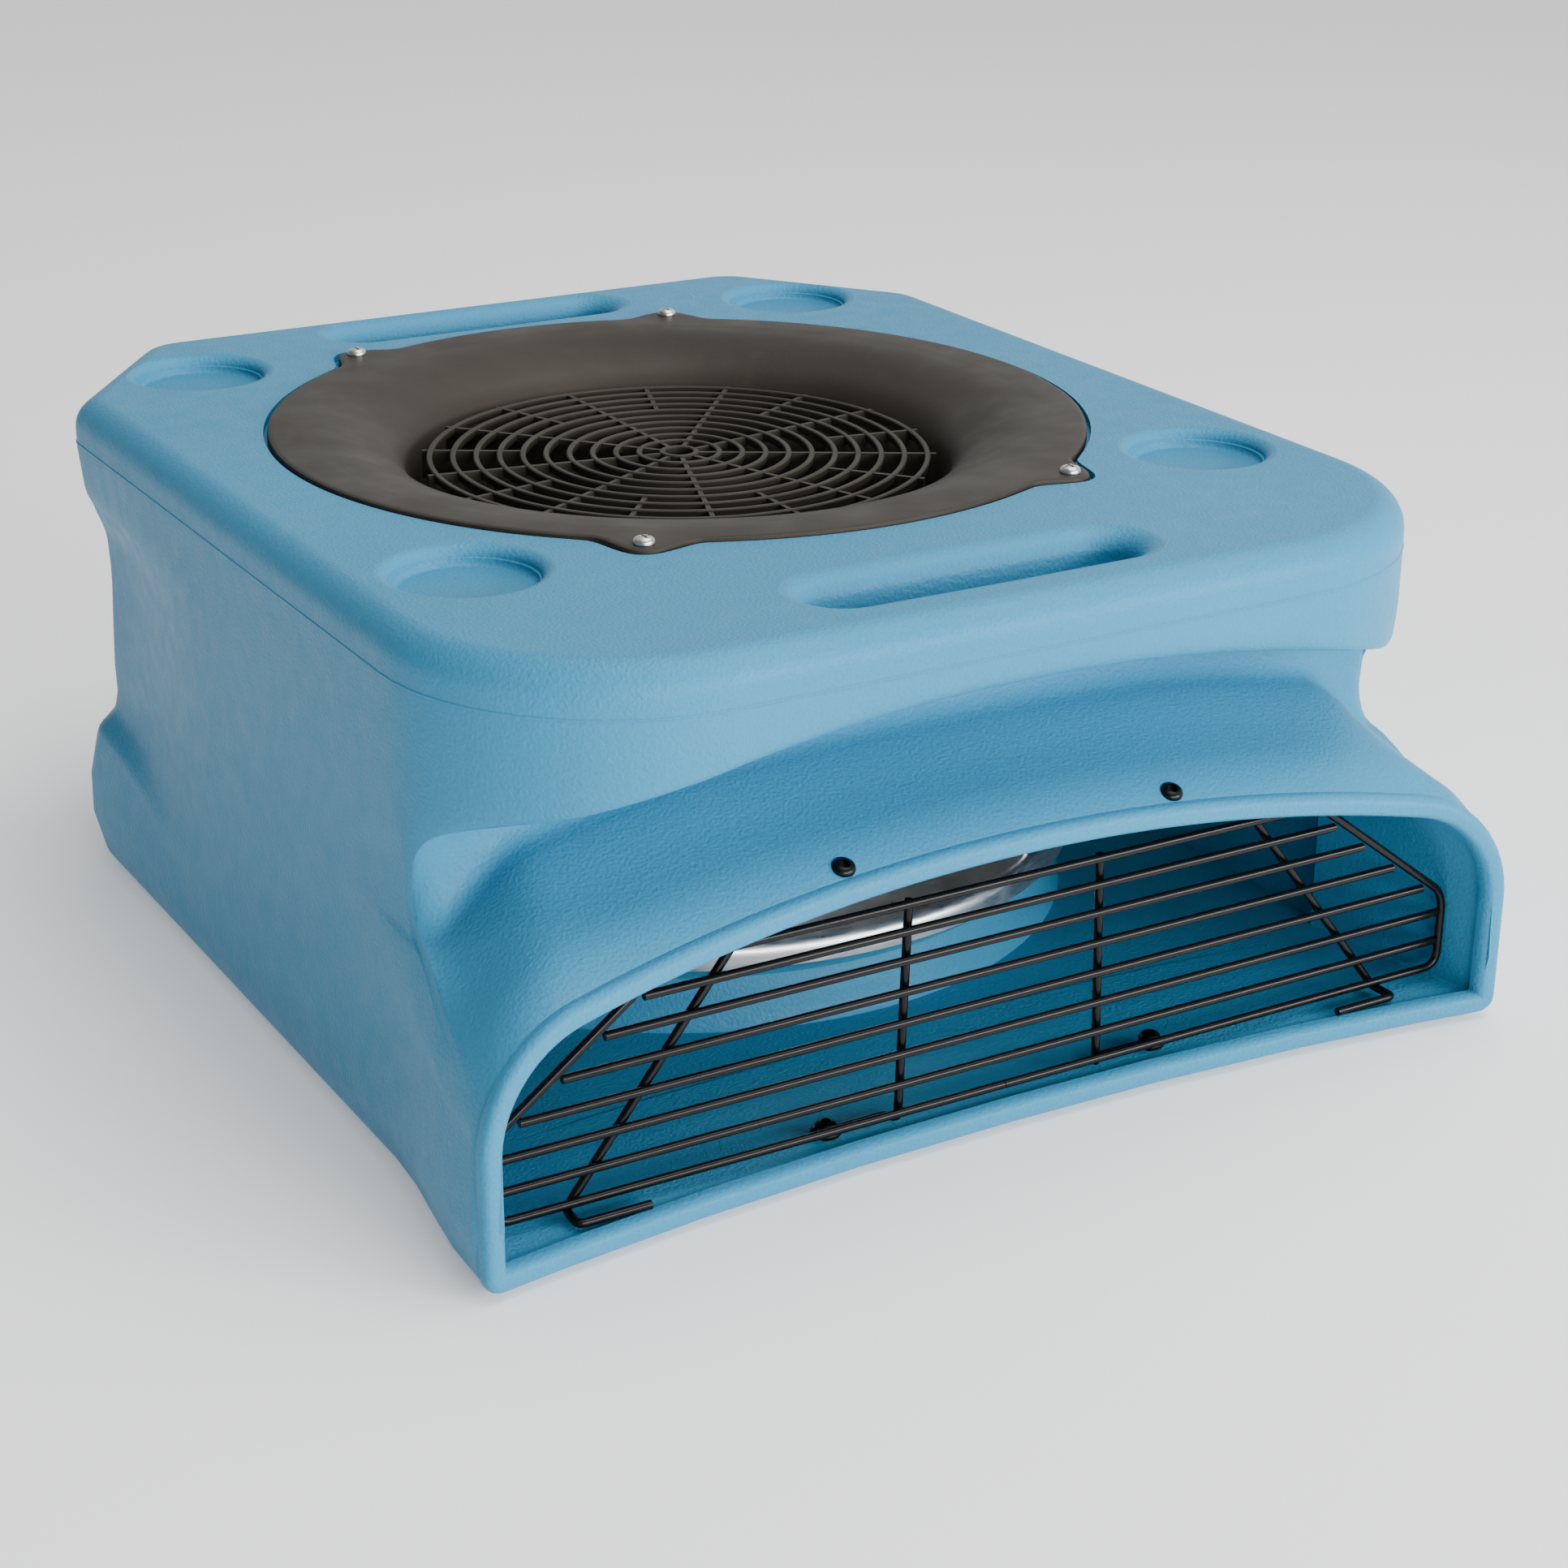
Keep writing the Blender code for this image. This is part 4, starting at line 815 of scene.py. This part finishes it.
def stadium(half_length, half_width, z, centre_y, count=18):
    """A long rounded outline whose long sides bow out slightly."""
    straight = half_length - half_width
    bow = half_width + 0.8
    right = [(0.0, centre_y - bow)] + arc(straight, centre_y, half_width, -pi / 2, pi / 2, count)
    left = [(0.0, centre_y + bow)] + arc(-straight, centre_y, half_width, pi / 2, 3 * pi / 2, count)
    return [(x, y, z) for x, y in right + left]


def grip_tool(name, centre_y):
    """Hand recess with a generous rolled rim and a rounded floor."""
    floor = HEIGHT - GRIP_DEPTH
    section = [(15.0, floor)]
    section += [(15.0 - 7.0 * sin(a), floor + 7.0 - 7.0 * cos(a)) for a in turn_angles(7)]
    section += [(-5.0 + 12.0 * cos(a), HEIGHT - 11.0 + 11.0 * sin(a)) for a in turn_angles(14, radians(84))]
    section += [(-7.0, HEIGHT + 0.4), (-7.0, HEIGHT + 6.0)]
    loops = [stadium(GRIP_HALF[0] - d, GRIP_HALF[1] - d, z, centre_y) for d, z in section]
    return mesh_object(name, *loft(loops))


def upright_hole(name, radius, low, high, centre):
    return turned(name, [(radius, low), (radius, high)], 20, centre=centre, hollow=False, start=0.07)


def upright_holes(name, radius, low, high, places):
    return [upright_hole(f"{name}_{i}", radius, low, high, centre) for i, centre in enumerate(places)]


def lug_places():
    return [(LUG_SCREW * cos(a), LUG_SCREW * sin(a)) for a in LUG_ANGLES]


def cup_places():
    return [(side * x, y) for side in (-1, 1) for x, y in (CUP_FRONT, CUP_REAR)]


def hollow_tools():
    """The housing's hollow without its pedestal and recess walls, its duct, underside and inlet."""
    hollow = mesh_object("tool_hollow", *loft(housing_hollow((7, 4, 6, 2, 1))))
    pedestal = [(186, FLOOR - 4), (185.6, FLOOR + 2), (184, FLOOR + 5), (180, PEDESTAL - 7),
                (178.4, PEDESTAL - 3), (175.4, PEDESTAL - 0.9), (172, PEDESTAL)]
    keep = [turned("keep_seat", [(RING_RADIUS + 8, RING_SEAT - WALL), (RING_RADIUS + 8, HEIGHT)], 48,
                   hollow=False),
            turned("keep_pedestal", pedestal, 128, hollow=False)]
    for i, centre in enumerate(cup_places()):
        keep.append(turned(f"keep_cup_{i}", [(34.6, HEIGHT - CUP_DEPTH - WALL + 1), (37.6, HEIGHT)], 18,
                           centre=centre, hollow=False))
    for i, y in enumerate((GRIP_FRONT_Y, GRIP_REAR_Y)):
        loops = [stadium(GRIP_HALF[0] + WALL - 1 - d, GRIP_HALF[1] + WALL - 1 - d, z, y, 3)
                 for d, z in ((7.0, HEIGHT - GRIP_DEPTH - WALL + 1), (3.0, HEIGHT))]
        keep.append(mesh_object(f"keep_grip_{i}", *loft(loops)))
    keep += upright_holes("keep_boss", 6.5, RING_SEAT - 20, RING_SEAT, lug_places())
    boolean(hollow, keep)
    return [hollow, duct_tool(),
            turned("tool_underside", [(168, -5), (166, 18), (160, 26)], 64, hollow=False),
            turned("tool_inlet", [(INLET_HOLE, 190), (INLET_HOLE, HEIGHT + 5)], 64, hollow=False)]


def opening_tools():
    """Ring seat, cups, hand recesses, screw holes and the rear recess with its openings."""
    wide, tall = PANEL_HALF
    seat = [ring_loop(RING_RADIUS + 1.8, LUG_REACH + 0.6, z, 0.12) for z in (RING_SEAT, HEIGHT + 5)]
    tools = [mesh_object("tool_ring_seat", *loft(seat)),
             box("tool_recess", (-wide, PANEL_Y, PANEL_Z - tall), (wide, PANEL_Y + 30, PANEL_Z + tall)),
             box("tool_switch", (SWITCH_X - 12, 225, PANEL_Z - 16),
                 (SWITCH_X + 12, PANEL_Y + 4, PANEL_Z + 16)),
             box("tool_gland", (GLAND_X - 13, 225, PANEL_Z - 13), (GLAND_X + 13, PANEL_Y + 4, PANEL_Z + 13))]
    tools += [cup_tool(f"tool_cup_{i}", centre) for i, centre in enumerate(cup_places())]
    tools += [grip_tool("tool_grip_front", GRIP_FRONT_Y), grip_tool("tool_grip_rear", GRIP_REAR_Y)]
    tools += upright_holes("tool_lug", 2.7, RING_SEAT - 16, HEIGHT, lug_places())
    tools += upright_holes("tool_motor", 2.8, PEDESTAL - 5, PEDESTAL + 6, motor_screw_places())
    for side in (-1, 1):
        centre = (side * FLOOR_SCREW[0], FLOOR_SCREW[1])
        tools.append(upright_hole(f"tool_floor_{side}", 2.4, 2.5, FLOOR + 6, centre))
        roof = upright_hole(f"tool_roof_{side}", 2.4, -30, 12, (0.0, 0.0))
        tools.append(place_tilted(roof, (side * NOZZLE_SCREW[0], *NOZZLE_SCREW[1:]), NOZZLE_TILT))
    for i, (x, z) in enumerate(panel_corners()):
        hole = upright_hole(f"tool_panel_{i}", 1.7, -9, 8, (0.0, 0.0))
        tools.append(place_tilted(hole, (x, PANEL_Y, z), -pi / 2))
    return tools


def fine_housing(mat):
    wide, tall = PANEL_HALF
    shell = mesh_object("housing_shell", *loft(housing_skin((26, 16, 18, 6, 8))))
    boolean(shell, hollow_tools())
    boolean(shell, [lip_bead()], "UNION")
    pad = box("tool_pad", (-wide - 6, PANEL_Y - 6, PANEL_Z - tall - 6),
              (wide + 6, PANEL_Y + 2, PANEL_Z + tall + 6))
    boolean(shell, [pad], "UNION")
    boolean(shell, opening_tools())
    stands_for(finish_shell(shell), "housing", mat)


# Fine pieces: inlet, wheel, screws ---------------------------------------------------------------------
def fine_ring(mat):
    seat = RING_SEAT + GAP
    outer = [(0.0, 0.0), (0.0, 3.0), (0.35, 4.0), (1.2, 4.5), (2.6, 4.6)]
    rows = [ring_loop(RING_RADIUS - d, LUG_REACH - d, seat + z) for d, z in outer]
    rows.append(ring_loop(183.0, 0.0, seat + 4.6))
    top = [(176, 4.6), (160, 3.0), (145, -2.0), (132, -10.0), (124, -26.0), (THROAT, -46.0)]
    throat = refined([(r, z, 0.0) for r, z in top], 5)
    under = [(THROAT, 146 - seat), (THROAT + 2.4, 146 - seat), (THROAT + 2.4, -46),
             (128, -24), (140, -8), (168, 0)]
    for radius, z, _ in throat + [(r, z, 0.0) for r, z in under]:
        rows.append(ring_loop(radius, 0.0, seat + z))
    ring = mesh_object("ring_shell", *loft(rows, close=True), sharp=40.0)
    stands_for(finish_shell(ring, 40.0), "inlet_ring", mat)


def fine_guard(mat):
    """Concentric rings with drafted sides on deep ribs."""
    pieces = []
    for i in range(GUARD_RINGS):
        radius = GUARD_HUB + i * GUARD_PITCH
        deep = 8.0 if i == 0 else 4.0
        half = [(0.9, 0.0), (1.35, 0.5), (0.9, deep)]
        section = [(radius + r, GUARD_TOP - z) for r, z in half]
        section += [(radius - r, GUARD_TOP - z) for r, z in reversed(half)]
        pieces.append(turned(f"guard_ring_{i}", section, 96))
    for rib in range(GUARD_RIBS):
        angle = -pi / 2 + 2 * pi * rib / GUARD_RIBS
        inner = GUARD_HUB if rib % 2 else GUARD_HUB + 6 * GUARD_PITCH
        low, high = GUARD_TOP - 14, GUARD_TOP - 0.6
        pieces.append(rib_bar(f"guard_rib_{rib}", angle, inner, THROAT - 0.7, low, high, 2.2))
    stands_for(joined("guard_whole", pieces), "finger_guard", mat)


def fine_screw(node, mat, head, height, point, tilt, drive):
    """Domed screw head with its drive recess, standing on a point and leaning by a tilt about X."""
    dome = [(2.0, -4.0), (2.0, 0.0), (head, 0.0), (head, 0.28 * height), (0.93 * head, 0.55 * height),
            (0.76 * head, 0.8 * height), (0.5 * head, 0.95 * height), (0.2 * head, height)]
    body = turned("screw_body", dome, 36, hollow=False)
    if drive == "cross":
        reach, slim = 0.56 * head, 0.13 * head
        cuts = [box("cut_1", (-reach, -slim, 0.45 * height), (reach, slim, height + 2)),
                box("cut_2", (-slim, -reach, 0.45 * height), (slim, reach, height + 2))]
    else:
        cuts = [turned("cut_1", [(0.5 * head, 0.35 * height), (0.5 * head, height + 2)], 6, hollow=False)]
    boolean(body, cuts)
    place_tilted(body, point, tilt)
    bpy.context.view_layer.update()
    body.data.transform(body.matrix_world)
    body.matrix_world = Matrix.Identity(4)
    body.data.shade_smooth()
    body.data.set_sharp_from_angle(angle=radians(38.0))
    stands_for(body, node, mat)


def fine_screws(zinc, black):
    for i, (x, y) in enumerate(lug_places()):
        fine_screw(f"ring_screw_{i + 1}", zinc, 4.7, 3.0, (x, y, RING_SEAT + 5.1), 0.0, "cross")
    for i, (x, y) in enumerate(motor_screw_places()):
        fine_screw(f"motor_screw_{i + 1}", zinc, 4.2, 2.4, (x, y, PEDESTAL + 3.1), 0.0, "cross")
    for i, (x, z) in enumerate(panel_corners()):
        fine_screw(f"panel_screw_{i + 1}", zinc, 3.2, 1.8, (x, PANEL_Y + 2.6, z), -pi / 2, "cross")
    for side, label in ((-1, "left"), (1, "right")):
        top = (side * NOZZLE_SCREW[0], *NOZZLE_SCREW[1:])
        fine_screw(f"nozzle_screw_{label}", black, 5.0, 2.8, top, NOZZLE_TILT, "socket")
        low = (side * FLOOR_SCREW[0], FLOOR_SCREW[1], FOOT_WIRE + WIRE + GAP)
        fine_screw(f"floor_screw_{label}", black, 4.6, 2.8, low, 0.0, "socket")


def fine_wheel(sheet, can_mat):
    outer = WHEEL_RADIUS
    rim = [(outer - 2.0 - 4.6 * (1 - sin(a)), WHEEL_PLATE - 2 - 4.6 * (1 - cos(a))) for a in turn_angles(6)]
    skin = [(outer - 6.0 * (1 - sin(a)), WHEEL_PLATE - 6.0 * (1 - cos(a))) for a in turn_angles(8)]
    section = [(CAN_RADIUS + GAP, WHEEL_PLATE - 2)] + rim + [(outer - 2, WHEEL_RIM), (outer, WHEEL_RIM)]
    section += skin[::-1] + [(CAN_RADIUS + GAP, WHEEL_PLATE)]
    stands_for(turned("wheel_plate", section, 144), "impeller_back_plate", sheet)
    lower = [(outer - 62.0 * t, shroud_height(outer - 62.0 * t)) for t in (k / 12 for k in range(13))]
    upper = [(r + 1.0, z + 1.8) for r, z in reversed(lower)]
    section = lower + [(126.2, 150.0), (128.0, 150.0)] + upper
    stands_for(turned("wheel_shroud", section, 120), "impeller_shroud", sheet)
    for index in range(BLADES):
        stands_for(blade(index), f"impeller_blade_{index + 1}", sheet)
    r = CAN_RADIUS
    section = [(r - 3, 46), (r, 46), (r, WHEEL_PLATE + GAP), (r + 15, WHEEL_PLATE + GAP), (r + 15, 54.6),
               (r, 54.6), (r, 102), (r - 1.3, 105.2), (r - 5, 107), (5.3, 107), (5.3, 103.4), (r - 6, 103.4),
               (r - 3, 101)]
    stands_for(turned("can_shell", section, 72), "rotor_can", can_mat)


def blade(index):
    """Backward-curved sheet standing between the back plate and the shroud."""
    steps = 22
    thick = 1.6
    start = 2 * pi * index / BLADES
    loops = []
    for i in range(steps + 1):
        t = i / steps
        radius = mix(80.0, WHEEL_RADIUS - 6.0, t)
        angle = start - radians(58.0) * t ** 0.85
        ahead = mix(radians(62.0), radians(50.0), t)
        across = (cos(angle + pi / 2 - ahead), sin(angle + pi / 2 - ahead))
        x, y = radius * cos(angle), radius * sin(angle)
        top = min(shroud_height(radius + 2.5), 138.0) - 2 * GAP
        low = WHEEL_PLATE + GAP
        loops.append([(x - across[0] * thick / 2, y - across[1] * thick / 2, low),
                      (x + across[0] * thick / 2, y + across[1] * thick / 2, low),
                      (x + across[0] * thick / 2, y + across[1] * thick / 2, top),
                      (x - across[0] * thick / 2, y - across[1] * thick / 2, top)])
    return mesh_object(f"blade_{index + 1}", *loft(loops))


# Fine pieces: outlet grille ----------------------------------------------------------------------------
def wire(node, points, mat):
    """A round wire with many sides and closed ends, standing for one of the grille's CAD wires."""
    curve = bpy.data.curves.new(f"wire_{node}", "CURVE")
    curve.dimensions = "3D"
    curve.bevel_depth = WIRE * MM
    curve.bevel_resolution = 4
    curve.use_fill_caps = True
    spline = curve.splines.new("POLY")
    spline.points.add(len(points) - 1)
    for target, point in zip(spline.points, points):
        target.co = (*((Vector(point) + OFFSET) * MM), 1.0)
    spline.use_smooth = True
    obj = bpy.data.objects.new(f"wire_{node}", curve)
    bpy.context.scene.collection.objects.link(obj)
    return stands_for(obj, node, mat)


def fine_grille(mat):
    low, top, half = GRILLE_LOW, GRILLE_TOP, GRILLE_HALF
    corners = [(0, low), (half, low), (half, FRAME_SHOULDER), (FRAME_TOP_HALF, top),
               (-FRAME_TOP_HALF, top), (-half, FRAME_SHOULDER), (-half, low), (-0.4, low)]
    wire("grille_frame", bend([(x, GRILLE_Y, z) for x, z in corners], 8.0, 10), mat)
    slope = (half - FRAME_TOP_HALF) / (top - FRAME_SHOULDER)
    for i, z in enumerate(CROSS_WIRES):
        past = max(z + WIRE - FRAME_SHOULDER, 0.0)
        edge = half - past * slope - WIRE - (1.8 if past else 0.4)
        wire(f"grille_wire_{i + 1}", [(-edge, GRILLE_Y, z), (edge, GRILLE_Y, z)], mat)
    for side, label in ((-1, "left"), (1, "right")):
        outer = [(127, UPRIGHT_Y, top), (203, UPRIGHT_Y, FOOT_WIRE), (204, -294, FOOT_WIRE),
                 (172, -294, FOOT_WIRE)]
        wire(f"grille_upright_outer_{label}", bend([(side * x, y, z) for x, y, z in outer], 3.5, 8), mat)
        eye_x, eye_y = FLOOR_SCREW
        turn = [pi * k / 12 for k in range(20)]
        loop = [(eye_x - 4.8 * cos(a), eye_y - 4.8 * sin(a), FOOT_WIRE) for a in turn]
        inner = bend([(47, UPRIGHT_Y, top), (50, UPRIGHT_Y, FOOT_WIRE), (54, eye_y, FOOT_WIRE),
                      (eye_x - 5.4, eye_y, FOOT_WIRE)], 2.0, 6)
        route = [tuple(p) for p in inner][:-1] + loop
        wire(f"grille_upright_inner_{label}", [(side * x, y, z) for x, y, z in route], mat)


# Fine pieces: rear controls and feet -------------------------------------------------------------------
def fine_gland(mat):
    section = [(3.8, -14), (8.0, -14), (8.0, 2.6), (11.0, 2.6), (11.0, 6.4), (10.4, 7.0), (9.2, 7.2),
               (8.9, 8.4), (8.6, 11.4), (7.9, 13.4), (6.8, 14.3), (5.6, 14.5), (4.2, 14.5), (3.8, 14.0)]
    gland = turned("gland_shell", section, 60)
    place_tilted(gland, (GLAND_X, PANEL_Y, PANEL_Z), -pi / 2)
    stands_for(gland, "cord_gland", mat)


def fine_feet(mat):
    places = ((-216.0, -283.0), (216.0, -283.0), (-140.0, 232.0), (140.0, 232.0))
    for i, (x, y) in enumerate(places):
        section = [(1.2, -FOOT)] + [(0.8 - 0.8 * sin(a), -FOOT + 0.8 - 0.8 * cos(a)) for a in turn_angles(4)]
        section.append((0.0, -0.3))
        outlines = [stadium(22.0 - inset, 10.2 - inset, z, y) for inset, z in section]
        loops = [[(x + px, py, z) for px, py, z in outline] for outline in outlines]
        stands_for(mesh_object(f"foot_shell_{i + 1}", *loft(loops)), f"foot_{i + 1}", mat)


def dress(node, mat, bevel=0.0):
    """Give a CAD node that stays its finish, with softened edges where it needs them."""
    obj = frame["nodes"][node]
    obj.data.materials.clear()
    obj.data.materials.append(mat)
    if bevel:
        mod = obj.modifiers.new("soft_edges", "BEVEL")
        mod.width = bevel * MM
        mod.segments = 2
        mod.limit_method = "ANGLE"
        mod.angle_limit = radians(50.0)


# Studio ------------------------------------------------------------------------------------------------
def build_camera():
    """Camera in front, to the left and above, looking slightly down on the fan."""
    turn, tip, roll = radians(-30.241), radians(22.228), radians(0.3985)
    back = Vector((sin(turn) * cos(tip), -cos(turn) * cos(tip), sin(tip)))
    right = Vector((cos(turn), sin(turn), 0.0))
    up = back.cross(right)
    right_rolled = right * cos(roll) + up * sin(roll)
    up_rolled = up * cos(roll) - right * sin(roll)
    data = bpy.data.cameras.new("camera")
    data.lens = 70.44
    data.sensor_width = 36.0
    data.clip_end = 50.0
    camera = bpy.data.objects.new("camera", data)
    place = (Vector((-657.3, -1227.4, 619.4)) + OFFSET) * MM
    facing = Matrix((right_rolled, up_rolled, back)).transposed().to_4x4()
    camera.matrix_world = Matrix.Translation(place) @ facing
    bpy.context.scene.collection.objects.link(camera)
    bpy.context.scene.camera = camera


def area_light(name, place, target, size, power):
    data = bpy.data.lights.new(name, "AREA")
    data.shape = "RECTANGLE"
    data.size, data.size_y = size
    data.energy = power
    light = bpy.data.objects.new(name, data)
    light.location = place
    light.rotation_euler = (Vector(target) - Vector(place)).to_track_quat("-Z", "Y").to_euler()
    bpy.context.scene.collection.objects.link(light)


def build_world():
    """A white surround that dims towards the machine's left."""
    world = bpy.data.worlds.new("studio")
    world.use_nodes = True
    nodes, links = world.node_tree.nodes, world.node_tree.links
    split = nodes.new("ShaderNodeSeparateXYZ")
    fall = nodes.new("ShaderNodeMapRange")
    for name, number in (("From Min", -0.8), ("From Max", 0.7), ("To Min", 0.18), ("To Max", 1.0)):
        fall.inputs[name].default_value = number
    links.new(nodes.new("ShaderNodeTexCoord").outputs["Generated"], split.inputs["Vector"])
    links.new(split.outputs["X"], fall.inputs["Value"])
    links.new(fall.outputs["Result"], nodes["Background"].inputs["Strength"])
    nodes["Background"].inputs["Color"].default_value = (1.0, 1.0, 1.0, 1.0)
    bpy.context.scene.world = world


def build_studio():
    build_world()
    area_light("top", (0.6, -0.3, 2.4), (0.0, 0.0, 0.0), (2.2, 1.7), 48.0)
    area_light("key", (1.5, -2.3, 0.85), (0.05, -0.25, 0.08), (1.2, 0.7), 54.0)
    area_light("front", (0.0, -2.6, 0.70), (0.0, -0.25, 0.10), (1.6, 0.6), 52.0)
    floor = bpy.data.meshes.new("floor")
    reach = 14.0
    floor.from_pydata([(-reach, -reach, 0), (reach, -reach, 0), (reach, reach, 0), (-reach, reach, 0)], [],
                      [(0, 1, 2, 3)])
    obj = bpy.data.objects.new("floor", floor)
    floor.materials.append(pale_floor())
    bpy.context.scene.collection.objects.link(obj)


def main():
    blue = blue_moulding()
    black = black_moulding()
    zinc = bare_metal("zinc_plate", (0.50, 0.50, 0.47), (0.74, 0.74, 0.71), 0.30, (1.0, 1.0, 1.0), 180.0)
    sheet = bare_metal("wheel_sheet", (0.66, 0.69, 0.70), (0.86, 0.88, 0.88), 0.34, (1.0, 1.0, 9.0))
    plate = bare_metal("plate_steel", (0.34, 0.35, 0.36), (0.52, 0.53, 0.54), 0.42, (1.0, 6.0, 1.0))
    powder = dipped_wire()
    motor = coated("motor_paint", (0.030, 0.030, 0.033), 0.42)
    core = coated("stator_resin", (0.12, 0.10, 0.085), 0.55)
    gloss = coated("switch_gloss", (0.010, 0.010, 0.011), 0.22, 0.4, 1500.0)
    can = coated("capacitor_can", (0.45, 0.46, 0.46), 0.38)
    rubber = rubber_pad()

    fine_housing(blue)
    fine_ring(black)
    fine_guard(black)
    fine_screws(zinc, powder)
    fine_wheel(sheet, motor)
    fine_grille(powder)
    fine_gland(black)
    fine_feet(rubber)
    dress("motor_shaft", zinc)
    dress("motor_stator", core)
    dress("bearing_lower", zinc)
    dress("bearing_upper", zinc)
    dress("motor_plate", plate)
    dress("motor_flange_spacer", plate)
    dress("control_plate", plate, 0.3)
    dress("switch_body", gloss, 0.5)
    dress("switch_rocker", gloss, 0.5)
    dress("cord_gland_nut", black, 0.3)
    dress("run_capacitor", can)
    dress("capacitor_clamp", plate)
    build_camera()
    build_studio()


main()
